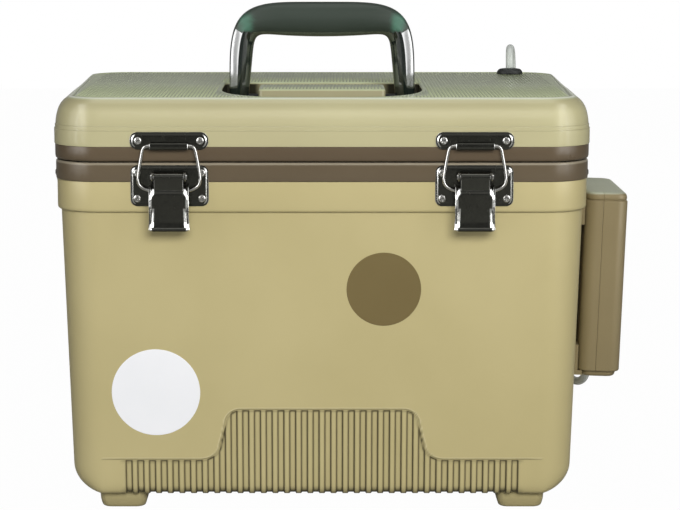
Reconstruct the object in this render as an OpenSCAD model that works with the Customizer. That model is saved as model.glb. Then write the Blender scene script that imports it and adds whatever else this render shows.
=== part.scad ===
// Aerated bait bucket: a small insulated bait cooler with a carry handle,
// two draw latches, rear hinges and an air pump hung on its side wall.
// The origin is the middle of the footprint on the floor. X runs across the
// front, the front faces -Y and Z is up. All sizes are in millimetres.

/* [Bucket] */
// Width of the lid, the widest part of the bucket
lid_w = 356; // [340:1:380]
// Depth of the lid from front to back
lid_d = 251; // [240:1:270]
// Height of the top of the lid above the floor
total_h = 279; // [272:1:300]
// Plan radius of the lid's upright corners
corner_r = 31; // [26:1:36]
// Slope of the tub's walls, in degrees
draft = 1.7; // [1:0.1:2.5]
// Height of the feet
foot_h = 11; // [8:0.5:14]
// Width of a foot
foot_w = 33; // [26:1:40]
// Depth of a foot
foot_d = 40; // [30:1:50]
// Distance of a foot's middle from the middle of the bucket
foot_x = 133; // [120:1:138]
// How far the tub's bottom edge is rounded in at the sides
edge_side = 18; // [12:1:22]
// How far the tub's bottom edge is rounded in at the front and back
edge_front = 5; // [4:0.5:10]
// Height of that rounded bottom edge
edge_h = 18; // [12:1:22]
// Wall of the outer tub
shell_t = 2.4; // [2:0.1:3]
// Wall of the inner liner
liner_t = 2; // [1.6:0.1:2.6]
// Distance of the inner liner's mouth from the outside of the lid
liner_in = 16; // [14:0.5:20]
// Foam under the floor of the liner
floor_foam = 13; // [8:1:18]

/* [Rim and collar] */
// How far the rim and the collar stand in from the lid
rim_in = 1.5; // [1:0.1:2.5]
// How far the tub stands in from the lid just under the collar
collar_in = 3.9; // [3.2:0.1:5.5]
// Height of the tub's collar
collar_h = 20.2; // [16:0.2:24]
// Height of the liner's rim band
rim_h = 12.4; // [10:0.2:15]
// Gap between the rim and the lid, closed by the gasket
lid_gap = 1.4; // [1:0.1:2]

/* [Lid] */
// Height of the lid's lower band
band_h = 9.3; // [8:0.1:12]
// Height of the lid's upper part
lid_shell_h = 31.4; // [28:0.2:34]
// Height of the fine step on the lid's side above the band
lid_step_h = 10.4; // [8:0.2:12]
// How far the lid's side curves in towards the top
crown_in = 9; // [6:0.5:11]
// Wall of the lid
lid_t = 2.5; // [2:0.1:3]
// Depth of the plug that drops into the liner
plug_h = 10.9; // [8:0.1:14]
// Play between the plug and the liner
plug_play = 2.4; // [2:0.1:3.5]

/* [Handle recess] */
// Half the width of the recess
recess_w = 69; // [68:0.5:76]
// Front end of the recess from the middle of the lid
recess_front = 112; // [106:1:114]
// Back end of the recess from the middle of the lid
recess_back = 18; // [12:1:30]
// Depth of the recess
recess_h = 18.5; // [18.2:0.1:19.5]
// Half the width of the block between the handle's legs
island_w = 45.5; // [40:0.5:48]
// Depth of that block from front to back
island_d = 44; // [36:1:50]

/* [Handle] */
// Distance of the handle's pivot in front of the middle of the lid
handle_y = 23; // [20:1:26]
// Depth of the pivot under the top of the lid
handle_drop = 8; // [7.5:0.1:8.4]
// Half the width over the handle's legs
handle_w = 64.5; // [62:0.5:66]
// Height of the handle above its pivot
handle_h = 67; // [60:0.5:74]
// Width of a leg
leg_w = 13.4; // [12:0.2:15]
// Thickness of the grip as seen from the front
grip_h = 23; // [18:0.5:24]
// Extra thickness of the grip in its middle, on the underside
grip_swell = 1.4; // [0:0.1:2]
// Front-to-back thickness of a leg
leg_d = 16; // [14:0.5:16]
// Front-to-back thickness of the grip
grip_d = 20; // [17:0.5:20]
// Radius of the pivot rod
rod_r = 3; // [2.5:0.1:3.5]

/* [Flutes] */
// Distance between the flutes
flute_pitch = 7.8; // [6:0.2:10]
// Width of a groove between two flutes
groove_w = 3.4; // [2.4:0.1:4]
// Depth of a groove
groove_t = 0.9; // [0.5:0.1:1.1]
// Step in from the wall to the fluted field
step_t = 0.6; // [0.3:0.1:0.8]
// Half the width of the fluted field
flute_w = 133; // [110:0.5:140]
// Height of the field's top edge near the corners
field_low = 36.2; // [32:0.2:50]
// Height of the field's top edge in the middle
field_high = 70.8; // [55:0.2:90]

/* [Latches] */
// Distance of a latch from the middle of the front
latch_x = 99.7; // [80:0.5:115]
// Width of the latch's base plate and of its keeper
plate_w = 51.3; // [48:0.1:56]
// Thickness of the latch's sheet metal
sheet_t = 1.2; // [1:0.1:1.4]
// Height of the base plate
base_h = 27.1; // [25:0.1:30]
// Depth of the middle of the base plate under the lid's top
base_down = 56.9; // [56:0.1:58]
// Height of the keeper
keeper_h = 11.4; // [10.5:0.1:13]
// Width of the lever
lever_w = 26; // [24:0.2:28]
// Height of the lever from its pivot to its tip
lever_h = 35.4; // [32:0.2:42]
// Radius of the bail's wire
wire_r = 1.05; // [0.9:0.05:1.2]
// Radius of the lever's pin
pin_r = 1.25; // [1:0.05:1.5]

/* [Rear hinges] */
// Distance of a hinge from the middle of the back
hinge_x = 85; // [70:1:110]
// Width of a hinge
hinge_w = 44; // [36:1:50]
// Radius of the knuckles
knuckle_r = 3.2; // [2.8:0.1:3.4]
// Distance of the hinge's axis behind the lid
axis_out = 4.2; // [4:0.1:5]

/* [Strap knobs] */
// Radius of the knob's head
knob_r = 7; // [5:0.5:8]
// Radius of the knob's neck
neck_r = 3.5; // [2.5:0.1:4]
// How far a knob stands out from the collar
knob_out = 12; // [10:0.5:14]
// Thickness of the knob's head
knob_t = 4; // [3:0.5:5]

/* [Air pump] */
// Gap between the tub's wall and the pump's case
pump_gap = 8.7; // [7.5:0.1:11]
// Thickness of the pump's case
pump_t = 29.4; // [26:0.2:32]
// Depth of the pump's case from front to back
pump_d = 92; // [86:1:100]
// Distance of the pump behind the middle of the side wall
pump_y = -4; // [-8:1:0]
// Height of the pump's case without its base cap
pump_h = 126; // [122:0.1:128]
// Height of the top of the case above the lower edge of the collar
pump_up = 4; // [0:0.1:4.2]
// Upright corner radius of the case
pump_r = 8; // [5:0.5:10]
// Height of the case's stepped top
pump_lip = 5.3; // [4:0.1:7]
// Height of the base cap
cap_h = 4; // [3:0.1:5]
// Wall of the pump's case
case_t = 2; // [1.6:0.1:2.4]
// Distance of the seam from the case's inner face
seam_x = 12; // [9:0.1:16]
// Radius of a battery
cell_r = 7.15; // [6.5:0.05:7.4]
// Length of a battery
cell_h = 50; // [44:0.5:52]
// Radius of the motor
motor_r = 10; // [8:0.5:10.5]
// Length of the motor
motor_h = 27; // [22:0.5:30]
// Travel of the pump's switch
switch_travel = 8; // [6:0.5:9]

/* [Air hose] */
// Outer radius of the air hose
hose_r = 3; // [2.4:0.1:3.4]
// Distance of the hose's grommet from the middle of the lid, to the right
grommet_x = 142; // [142:1:142]
// Distance of the hose's grommet behind the middle of the lid
grommet_y = 104; // [104:1:104]
// Radius of the grommet's flange
grommet_r = 9.5; // [7:0.5:10]
// Height of the grommet's flange
grommet_h = 3.8; // [3:0.1:5]
// Radius of the air stone
stone_r = 8; // [6:0.5:11]
// Length of the air stone
stone_h = 26; // [20:1:36]

/* [Hidden] */
$fn = 64;

// Heights of the bands, worked down from the top of the lid
lid_z = total_h - lid_shell_h;
band_z = lid_z - band_h;
rim_top = band_z - lid_gap;
rim_z = rim_top - rim_h;
collar_z = rim_z - collar_h;
floor_z = foot_h + shell_t + floor_foam + liner_t;
plug_z = rim_top - plug_h;
recess_z = total_h - recess_h;
// Play left between pieces that only touch, run on a pin or slide
touch = 0.15;
pin_play = 0.05;
// Rim band of the liner and flange of the lid's pan
rim_t = 2.5;
flange_t = 3.5;
band_in = 1;
// Gasket: width, distance from the lid's outside and depth of its groove
gasket_w = 6;
gasket_in = 6.5;
gasket_groove = 1.5;
// Axes
axis_y = lid_d / 2 + axis_out;
axis_z = band_z - lid_gap / 2;
handle_z = total_h - handle_drop;
// Screws: head radius, head height, shank radius and play of the holes
head_r = 2.7;
head_h = 1.3;
shank_r = 1.3;
hole_play = 0.1;
// Colours
tan_c = [0.72, 0.68, 0.49];
brown_c = [0.33, 0.27, 0.21];
steel_c = [0.35, 0.35, 0.36];
pump_c = [0.52, 0.46, 0.33];
hose_c = [0.85, 0.87, 0.84, 0.6];
foam_c = [0.93, 0.9, 0.78];

// ---------- helpers ----------
function unit(v) = v / norm(v);
function slope(z0, z1) = (z1 - z0) * tan(draft);

// Points of a rounded rectangle at height z, counter-clockwise from above
function ring(w, d, r, z, n = 10) = [for (c = [0:3], i = [0:n])
    let (a = 90 * c + 90 * i / n, sx = c == 0 || c == 3 ? 1 : -1, sy = c < 2 ? 1 : -1)
    [sx * (w / 2 - r) + r * cos(a), sy * (d / 2 - r) + r * sin(a), z]];

// The lid's plan, drawn in by ix at the sides and iy at the front and back
function plan_ring(ix, iy, z) =
    ring(lid_w - 2 * ix, lid_d - 2 * iy, max(corner_r - (ix + iy) / 2, 4), z);

// Rings of a drafted tub from z0 to z1 with a rounded bottom edge. Its wall
// stands in by in0 at height zr.
function tub(in0, zr, z0, z1, ex, ey, eh) = concat(
    [for (a = [0:15:90]) let (z = z0 + eh * (1 - cos(a)), i = in0 + slope(z, zr))
        plan_ring(i + ex * (1 - sin(a)), i + ey * pow(1 - sin(a), 2), z)],
    [let (i = in0 + slope(z1, zr)) plan_ring(i, i, z1)]);

// A closed skin over rings that all have the same number of points
module loft(rings) {
    n = len(rings[0]);
    m = len(rings);
    polyhedron(points = [for (r = rings) each r], faces = concat(
        [[for (i = [0:n - 1]) i]],
        [[for (i = [n - 1:-1:0]) (m - 1) * n + i]],
        [for (k = [0:m - 2], i = [0:n - 1]) let (j = (i + 1) % n)
            [k * n + i, (k + 1) * n + i, (k + 1) * n + j]],
        [for (k = [0:m - 2], i = [0:n - 1]) let (j = (i + 1) % n)
            [k * n + i, (k + 1) * n + j, k * n + j]]));
}

// Rings of a round tube along a list of points, carried without twist
function tangents(p) = [for (i = [0:len(p) - 1])
    unit(p[min(i + 1, len(p) - 1)] - p[max(i - 1, 0)])];
function carry(t, u, i = 0) = i >= len(t) ? [] :
    let (v = unit(u - (u * t[i]) * t[i])) concat([v], carry(t, v, i + 1));
function tube_rings(p, r, n, side) = let (t = tangents(p), u = carry(t, side))
    [for (i = [0:len(p) - 1]) let (w = cross(t[i], u[i]))
        [for (k = [0:n - 1]) let (a = 360 * k / n) p[i] + r * (cos(a) * u[i] + sin(a) * w)]];

// Flat plan of the lid drawn in by i
module plan(i) {
    w = lid_w - 2 * i;
    d = lid_d - 2 * i;
    r = max(corner_r - i, 4);
    square([w - 2 * r, d], center = true);
    square([w, d - 2 * r], center = true);
    for (sx = [-1, 1], sy = [-1, 1]) translate([sx * (w / 2 - r), sy * (d / 2 - r)]) circle(r);
}

// A slab with the lid's plan drawn in by i, from z0 to z1
module slab(i, z0, z1) { translate([0, 0, z0]) linear_extrude(z1 - z0) plan(i); }

// Flat rectangle with rounded corners
module round_rect(w, h, r) {
    square([w - 2 * r, h], center = true);
    square([w, h - 2 * r], center = true);
    for (sx = [-1, 1], sy = [-1, 1]) translate([sx * (w / 2 - r), sy * (h / 2 - r)]) circle(r);
}

// Plate standing on the front, seen from the front: w across and h high
// around height z, from y0 towards the viewer by t
module front_plate(w, h, r, y0, z, t) {
    translate([0, y0, z]) rotate([90, 0, 0]) linear_extrude(t) round_rect(w, h, r);
}

// Bar along X from x0 to x1 at (y, z)
module bar_x(x0, x1, y, z, r) {
    translate([x0, y, z]) rotate([0, 90, 0]) cylinder(r = r, h = x1 - x0);
}

// Pan-head screw with its head on z = 0, its shank reaching down by l
module screw(l) {
    cylinder(r = head_r, h = head_h / 2);
    translate([0, 0, head_h / 2]) cylinder(r1 = head_r, r2 = head_r * 0.6, h = head_h / 2);
    translate([0, 0, -l]) cylinder(r = shank_r, h = l);
}
module screw_hole(l) { translate([0, 0, -l]) cylinder(r = shank_r + hole_play, h = l + 5); }

// ---------- bucket ----------
// Places where the fastenings enter the shells
latch_sides = [-1, 1];
plate_y = lid_d / 2 - rim_in;
base_z = total_h - base_down;
keeper_z = lid_z + 4.1;
base_screws = [for (sx = [-1, 1], sz = [-1, 1]) [sx * (plate_w / 2 - 4.6), base_z + sz * 8.4]];
keeper_screws = [for (sx = [-1, 1]) [sx * (plate_w / 2 - 5.3), keeper_z]];
leaf_screw_x = hinge_w / 2 - 8;
body_leaf_z = axis_z - 20;
lid_leaf_z = axis_z + 17.5;
knob_z = collar_z + 12.2;
shell_bite = shell_t - 0.2;

module body_holes() {
    for (s = latch_sides, p = base_screws) translate([s * latch_x + p[0], -plate_y, p[1]])
        rotate([90, 0, 0]) screw_hole(shell_bite);
    for (s = latch_sides, sx = [-1, 1])
        translate([s * hinge_x + sx * leaf_screw_x, plate_y, body_leaf_z])
            rotate([-90, 0, 0]) screw_hole(shell_bite);
    for (s = [-1, 1]) translate([s * (lid_w / 2 - rim_in), 0, knob_z])
        rotate([0, s * 90, 0]) screw_hole(shell_bite);
    at_pump() bracket_holes();
}

module foot_block(sx, sy) {
    tub_bottom_y = lid_d / 2 - collar_in - slope(foot_h, collar_z) - edge_front - 3;
    translate([sx * foot_x, sy * (tub_bottom_y - foot_d / 2), 0]) loft([
        ring(foot_w - 8, foot_d - 8, 5, 0), ring(foot_w - 3.4, foot_d - 3.4, 6, 1.2),
        ring(foot_w - 1.6, foot_d - 1.6, 6, foot_h / 3),
        ring(foot_w, foot_d, 6, foot_h + shell_t / 2)]);
}

// Top edge of the fluted field from the middle out: level, a rounded
// shoulder, a steep run down, a rounded foot and level again
rise_in = 54.5;
rise_out = 82;
shoulder_w = 10.8;
run_out_w = 13;
shoulder_h = (field_high - field_low) * 0.29;
field_edge = concat(
    [for (a = [0:15:90]) [rise_in + shoulder_w * sin(a), field_high - shoulder_h * (1 - cos(a))]],
    [for (a = [0:15:90]) [rise_out - run_out_w * cos(a), field_low + shoulder_h * (1 - sin(a))]]);

// The fluted field seen from the front, its edge lowered by drop, with
// heights counted from the lower edge of the collar
module field_plan(drop) {
    low = -collar_z - 5;
    side = lid_w / 2 - corner_r / 2;
    right = concat([for (p = field_edge) [p[0], p[1] - drop - collar_z]], [[side, field_low - drop - collar_z], [side, low]]);
    n = len(right);
    polygon(concat(right, [for (i = [n - 1:-1:0]) [-right[i][0], right[i][1]]]));
}

// Field and grooves of one long wall, cut square to the drafted wall
module flute_cut() {
    n = floor(flute_w / flute_pitch);
    translate([0, -(lid_d / 2 - collar_in), collar_z]) rotate([90 + draft, 0, 0]) {
        translate([0, 0, -step_t]) linear_extrude(step_t + 4) field_plan(0);
        translate([0, 0, -step_t - groove_t]) linear_extrude(step_t + groove_t + 4) intersection() {
            field_plan(0.8);
            for (i = [-n:n - 1]) translate([(i + 0.5) * flute_pitch - groove_w / 2, -collar_z - 5])
                square([groove_w, field_high]);
        }
    }
}

module body_shell() {
    color(tan_c) difference() {
        union() {
            loft(concat(
                tub(collar_in, collar_z, foot_h, collar_z, edge_side, edge_front, edge_h),
                [plan_ring(rim_in + 1.6, rim_in + 1.6, collar_z),
                    plan_ring(rim_in + 0.5, rim_in + 0.5, collar_z + 0.9),
                    plan_ring(rim_in, rim_in, collar_z + 2.6),
                    plan_ring(rim_in, rim_in, rim_z)]));
            for (sx = [-1, 1], sy = [-1, 1]) foot_block(sx, sy);
        }
        tub_cavity(0);
        flute_cut();
        mirror([0, 1, 0]) flute_cut();
        body_holes();
    }
}

// Space inside the outer tub, drawn in by play
module tub_cavity(play) {
    i = collar_in + shell_t + play;
    loft(concat(
        tub(i, collar_z, foot_h + shell_t + play, collar_z, edge_side - shell_t, edge_front - shell_t, edge_h - shell_t),
        [plan_ring(i, i, play > 0 ? rim_z : rim_z + 5)]));
}

// Outside of the liner's tub grown by play, up to height z1
module liner_tub(play, z1) {
    loft(tub(liner_in - liner_t - play, rim_top, floor_z - liner_t - play, z1, 14, 10, 14));
}

module body_foam() {
    color(foam_c) difference() {
        tub_cavity(touch);
        liner_tub(touch, rim_z + 1);
        tongue(touch);
    }
}

// Tongue under the rim band that locates the liner in the tub
module tongue(play) {
    i = collar_in + shell_t + touch - play;
    difference() {
        slab(i, rim_z - 4 - play, rim_top - rim_t + 0.5);
        slab(i + 2 + 2 * play, rim_z - 5 - play, rim_top - rim_t + 1);
    }
}

module interior() { loft(tub(liner_in, rim_top, floor_z, rim_top + 1, 12, 8, 12)); }

module body_liner() {
    color(brown_c) difference() {
        union() {
            liner_tub(0, rim_top);
            difference() {
                slab(rim_in, rim_z, rim_top);
                difference() {
                    slab(rim_in + rim_t, rim_z - 1, rim_top - rim_t);
                    liner_tub(-liner_t / 4, rim_top);
                }
            }
            tongue(0);
        }
        interior();
        body_holes();
    }
}

// ---------- lid ----------
function crown(t) = 0.5 + (crown_in - 0.5) * (1 - sqrt(1 - t * t));

// Rings of the lid's upper part, drawn in by i and lowered by dz
function lid_rings(i, dz, z0) = concat(
    [plan_ring(i, i, z0), plan_ring(i, i, lid_z + lid_step_h)],
    [for (t = [0, 0.35, 0.6, 0.78, 0.9, 0.97, 1])
        plan_ring(i + crown(t), i + crown(t), lid_z + lid_step_h + 0.2 + t * (lid_shell_h - lid_step_h - 0.2 - dz))]);

// Outline of the handle recess: straight at the back, and closing in a
// superellipse towards the front. It is grown by g.
module recess_plan(g) {
    l = recess_front - 20 + g;
    w = recess_w + g;
    polygon(concat([[w - 4, recess_back + g], [-w + 4, recess_back + g], [-w, recess_back + g - 4]],
        [for (a = [0:7.5:180]) let (c = cos(a), s = sin(a))
            [-w * sign(c) * pow(abs(c), 2 / 3), -20 - l * pow(abs(s), 2 / 3)]],
        [[w, recess_back + g - 4]]));
}
island_y = -handle_y;
module island_plan(g) { translate([0, island_y]) round_rect(2 * (island_w + g), island_d + 2 * g, 3); }

module hose_bore(r, z0, z1) { translate([grommet_x, grommet_y, z0]) cylinder(r = r, h = z1 - z0); }

module lid_holes() {
    for (s = latch_sides, p = keeper_screws) translate([s * latch_x + p[0], -lid_d / 2, p[1]])
        rotate([90, 0, 0]) screw_hole(shell_bite);
    for (s = latch_sides, sx = [-1, 1]) translate([s * hinge_x + sx * leaf_screw_x, lid_d / 2, lid_leaf_z])
        rotate([-90, 0, 0]) screw_hole(shell_bite);
    hose_bore(bore_r, plug_z - 1, total_h + 1);
}

module lid_shell() {
    color(tan_c) difference() {
        loft(lid_rings(0, 0, lid_z));
        difference() {
            loft(lid_rings(lid_t, lid_t, lid_z - 1));
            translate([0, 0, recess_z - lid_t]) linear_extrude(recess_h) difference() {
                recess_plan(lid_t);
                translate([0, 0, 0]) island_plan(-lid_t);
            }
            translate([0, 0, recess_z - lid_t]) linear_extrude(recess_h) difference() {
                island_plan(0.01);
                island_plan(-lid_t);
            }
        }
        translate([0, 0, recess_z]) linear_extrude(recess_h + 1) difference() {
            recess_plan(0);
            island_plan(0);
        }
        difference() {
            slab(crown_in + 0.6, total_h - 0.6, total_h + 1);
            slab(crown_in + 1.6, total_h - 1, total_h + 2);
            translate([0, 0, recess_z]) linear_extrude(recess_h + 2) recess_plan(0);
        }
        bar_x(-island_w - 1, island_w + 1, island_y, handle_z, rod_r + 0.02);
        lid_holes();
    }
}

module lid_foam() {
    color(foam_c) difference() {
        union() {
            loft(lid_rings(lid_t + touch, lid_t + touch, lid_z));
            slab(plug_in + liner_t + touch, plug_z + liner_t + touch, lid_z + 1);
            slab(band_in + rim_t + touch, band_z + flange_t + touch, lid_z + 1);
        }
        translate([0, 0, recess_z - lid_t - touch]) linear_extrude(recess_h + 10) recess_plan(lid_t + touch);
        hose_bore(bore_r, plug_z - 1, total_h + 1);
        lid_tongue(touch);
    }
}

// Pan of the lid: a band round the edge, a flange over the rim and a plug
plug_in = liner_in + plug_play;
module lid_tongue(play) {
    i = lid_t + touch - play;
    difference() {
        slab(i, lid_z - 1 - play, lid_z + 4 + play);
        slab(i + 2 + 2 * play, lid_z - 2 - play, lid_z + 5 + play);
    }
}

module lid_liner() {
    color(brown_c) difference() {
        union() {
            loft([plan_ring(band_in + 3, band_in + 3, band_z), plan_ring(band_in + 0.9, band_in + 0.9, band_z + 0.9),
                plan_ring(band_in, band_in, band_z + 3), plan_ring(band_in, band_in, lid_z)]);
            loft([plan_ring(plug_in + 3, plug_in + 3, plug_z), plan_ring(plug_in + 0.8, plug_in + 0.8, plug_z + 1),
                plan_ring(plug_in, plug_in, plug_z + 3), plan_ring(plug_in, plug_in, band_z + 1)]);
            lid_tongue(0);
        }
        difference() {
            slab(band_in + rim_t, band_z + flange_t, lid_z + 6);
            lid_tongue(0);
        }
        slab(plug_in + liner_t, plug_z + liner_t, band_z + flange_t + 1);
        difference() {
            slab(gasket_in, band_z - 1, band_z + gasket_groove);
            slab(gasket_in + gasket_w, band_z - 2, band_z + gasket_groove + 1);
        }
        hose_bore(bore_r, plug_z - 1, lid_z + 1);
    }
}

module lid_gasket() {
    color([0.12, 0.12, 0.12]) difference() {
        slab(gasket_in + touch, rim_top + 0.1, band_z + gasket_groove - 0.05);
        slab(gasket_in + gasket_w - touch, rim_top - 1, band_z + gasket_groove + 1);
    }
}

// ---------- handle ----------
// Point of an outline at angle t about the pivot: a superellipse of power n,
// whose sides lean in by this part of their half width on the way up
function arch(a, b, n, lean, t) = let (r = pow(pow(abs(cos(t)) / a, n) + pow(abs(sin(t)) / b, n), -1 / n))
    [r * cos(t) * (1 - lean * r * sin(t) / b), r * sin(t)];
function handle_ring(t) =
    let (o = arch(handle_w, handle_h, 4.6, 0, t),
        i = arch(handle_w - leg_w, handle_h - grip_h, 14, 0.085, t) - [0, grip_swell * pow(sin(t), 12)],
        d = leg_d + (grip_d - leg_d) * pow(sin(t), 2))
    [for (k = [0:13]) let (a = 360 * (k + 0.5) / 14,
        s = 0.5 + 0.5 * sign(cos(a)) * pow(abs(cos(a)), 0.55),
        y = d / 2 * sign(sin(a)) * pow(abs(sin(a)), 0.55), p = i + (o - i) * s) [p[0], y, p[1]]];

module handle() {
    color([0.16, 0.21, 0.19]) translate([0, -handle_y, handle_z]) difference() {
        union() {
            loft([for (t = [0:5:180]) handle_ring(t)]);
            for (s = [-1, 1]) bar_x(s > 0 ? handle_w - leg_w : -handle_w, s > 0 ? handle_w : -handle_w + leg_w, 0, 0, leg_d / 2);
        }
        bar_x(-rod_end - 0.3, rod_end + 0.3, 0, 0, rod_r + pin_play);
    }
}
rod_end = handle_w - 4.5;
module handle_rod() {
    color(steel_c) bar_x(-rod_end, rod_end, -handle_y, handle_z, rod_r);
}

// ---------- rear hinges ----------
leaf_t = 1.2;
hinge_pin_r = 1.5;
knuckle_split = 7.5;
split_play = 0.2;
module leaf_plate(y0, z0, z1, sy) {
    translate([0, y0, (z0 + z1) / 2]) rotate([-90, 0, 0]) linear_extrude(leaf_t) round_rect(hinge_w, z1 - z0, 2);
}
module hinge_body_leaf(s) {
    color(steel_c) translate([s * hinge_x, 0, 0]) difference() {
        union() {
            leaf_plate(plate_y, body_leaf_z - 6, axis_z - 2, 1);
            for (k = [-1, 1]) {
                x0 = k > 0 ? knuckle_split + split_play : -hinge_w / 2;
                w = hinge_w / 2 - knuckle_split - split_play;
                bar_x(x0, x0 + w, axis_y, axis_z, knuckle_r);
                translate([x0, plate_y, axis_z - knuckle_r]) cube([w, axis_y - plate_y, leaf_t]);
            }
        }
        bar_x(-hinge_w, hinge_w, axis_y, axis_z, hinge_pin_r + 0.02);
        for (k = [-1, 1]) translate([k * leaf_screw_x, plate_y + 3, body_leaf_z]) rotate([90, 0, 0])
            cylinder(r = shank_r + hole_play, h = 6);
    }
}
module hinge_lid_leaf(s) {
    color(steel_c) translate([s * hinge_x, 0, 0]) difference() {
        union() {
            leaf_plate(lid_d / 2, axis_z + 2.8, lid_leaf_z + 6, 1);
            bar_x(-knuckle_split, knuckle_split, axis_y, axis_z, knuckle_r);
            translate([-knuckle_split, lid_d / 2, axis_z + knuckle_r - leaf_t])
                cube([2 * knuckle_split, axis_y - lid_d / 2, leaf_t]);
        }
        bar_x(-hinge_w, hinge_w, axis_y, axis_z, hinge_pin_r + pin_play);
        for (k = [-1, 1]) translate([k * leaf_screw_x, lid_d / 2 + 3, lid_leaf_z]) rotate([90, 0, 0])
            cylinder(r = shank_r + hole_play, h = 6);
    }
}
module hinge_pin(s) {
    color(steel_c) translate([s * hinge_x, 0, 0]) {
        bar_x(-hinge_w / 2, hinge_w / 2, axis_y, axis_z, hinge_pin_r);
        for (k = [-1, 1]) bar_x(k > 0 ? hinge_w / 2 : -hinge_w / 2 - 0.8, k > 0 ? hinge_w / 2 + 0.8 : -hinge_w / 2, axis_y, axis_z, 2.3);
    }
}
module hinge_body_screws() {
    color(steel_c) for (s = [-1, 1], k = [-1, 1])
        translate([s * hinge_x + k * leaf_screw_x, plate_y + leaf_t, body_leaf_z]) rotate([-90, 0, 0]) screw(leaf_t + 2);
}
module hinge_lid_screws() {
    color(steel_c) for (s = [-1, 1], k = [-1, 1])
        translate([s * hinge_x + k * leaf_screw_x, lid_d / 2 + leaf_t, lid_leaf_z]) rotate([-90, 0, 0]) screw(leaf_t + 2);
}

// ---------- latches ----------
// The lever turns at (pivot_y, pivot_z), the bail on the lever at
// (bail_y, bail_z), and the bail's bar lies in the keeper's lip at
// (lip_y, lip_z). The bail pulls behind the lever's pivot, so it stays shut.
pivot_y = -plate_y - sheet_t - 6.3;
pivot_z = base_z + 6.3;
bail_y = pivot_y + 2.5;
bail_z = pivot_z - 9.1;
lip_t = 1.2;
lip_y = -lid_d / 2 - sheet_t - wire_r - 0.3;
lip_z = keeper_z - keeper_h / 2 + lip_t + wire_r + 0.15;
ear_x = 9.8;
barrel_r = 2.9;

module at_latch(s) { translate([s * latch_x, 0, 0]) children(); }

module latch_base(s) {
    color(steel_c) at_latch(s) difference() {
        union() {
            front_plate(plate_w, base_h, 4.5, -plate_y, base_z, sheet_t * 0.6);
            front_plate(plate_w - 4, base_h - 3, 3.5, -plate_y, base_z, sheet_t);
            for (k = [-1, 1]) translate([k > 0 ? ear_x : -ear_x - sheet_t, 0, 0]) rotate([90, 0, 90]) linear_extrude(sheet_t) {
                translate([pivot_y, pivot_z]) circle(3.4);
                polygon([[-plate_y - sheet_t / 2, pivot_z + 4], [pivot_y + 0.5, pivot_z + 3.3], [pivot_y + 0.5, pivot_z - 3.3], [-plate_y - sheet_t / 2, pivot_z - 5]]);
            }
        }
        bar_x(-20, 20, pivot_y, pivot_z, pin_r + 0.02);
        for (p = base_screws) translate([p[0], -plate_y + 3, p[1]]) rotate([90, 0, 0]) cylinder(r = shank_r + hole_play, h = 8);
    }
}

module latch_lever(s) {
    front_y = pivot_y - 3.2;
    tip_z = pivot_z - lever_h;
    shoulder_z = pivot_z - 8.2;
    color(steel_c) at_latch(s) difference() {
        union() {
            bar_x(-ear_x + 0.4, ear_x - 0.4, pivot_y, pivot_z, barrel_r);
            translate([-ear_x + 0.4, pivot_y - barrel_r, shoulder_z - 1]) cube([2 * ear_x - 0.8, sheet_t, 9.2]);
            translate([-lever_w / 2, front_y, tip_z + 3]) cube([lever_w, sheet_t, shoulder_z - tip_z - 3]);
            bar_x(-lever_w / 2, lever_w / 2, front_y - 0.2, tip_z + 1.6, 1.6);
            translate([-lever_w / 2, front_y - 1.2, tip_z + 1.4]) cube([lever_w, sheet_t + 0.6, 2.4]);
            for (k = [-1, 1]) translate([k > 0 ? lever_w / 2 - sheet_t : -lever_w / 2, 0, 0]) rotate([90, 0, 90]) linear_extrude(sheet_t)
                polygon([[front_y, shoulder_z], [front_y + 1.5, bail_z + 3.6], [bail_y - 0.6, bail_z + 4], [bail_y + 1.6, bail_z + 2.2],
                    [bail_y + 2.4, bail_z], [bail_y + 1.6, bail_z - 3], [front_y + 2.2, tip_z + 9], [front_y, tip_z + 4]]);
        }
        bar_x(-20, 20, pivot_y, pivot_z, pin_r + pin_play);
        bar_x(-20, 20, bail_y, bail_z, wire_r + pin_play);
    }
}

module latch_pin(s) {
    color(steel_c) at_latch(s) {
        e = ear_x + sheet_t;
        bar_x(-e - 0.2, e + 0.2, pivot_y, pivot_z, pin_r);
        for (k = [-1, 1]) bar_x(k > 0 ? e + 0.1 : -e - 0.9, k > 0 ? e + 0.9 : -e - 0.1, pivot_y, pivot_z, 2);
    }
}

// Half of the bail's outline, from the lever's hole out, up and over
bail_out = 19.6;
bail_top = 16;
function bail_half() = let (h = lip_z - bail_z) [[lever_w / 2 + 1.4, 0], [lever_w / 2 + 3.6, 0.6], [bail_out - 1.2, 3.2], [bail_out - 0.1, 6],
    [bail_out - 0.1, 9], [bail_top + 1.2, h * 0.75], [bail_top + 0.6, h - 4.2],
    [bail_top - 0.1, h - 1.7], [bail_top - 1.6, h - 0.3], [bail_top - 3, h]];
module latch_bail(s) {
    h = lip_z - bail_z;
    half = bail_half();
    n = len(half);
    path = concat([[lever_w / 2 + 0.3, 0]], half, [for (i = [n - 1:-1:0]) [-half[i][0], half[i][1]]], [[-lever_w / 2 - 0.3, 0]]);
    color(steel_c) at_latch(s) {
        loft(tube_rings([for (p = path) [p[0], bail_y + (lip_y - bail_y) * p[1] / h, bail_z + p[1]]], wire_r - 0.04, 10, [0, 1, 0]));
        for (k = [-1, 1]) bar_x(k > 0 ? lever_w / 2 - sheet_t - 0.6 : -lever_w / 2 - 0.6, k > 0 ? lever_w / 2 + 0.6 : -lever_w / 2 + sheet_t + 0.6, bail_y, bail_z, wire_r);
    }
}

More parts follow.
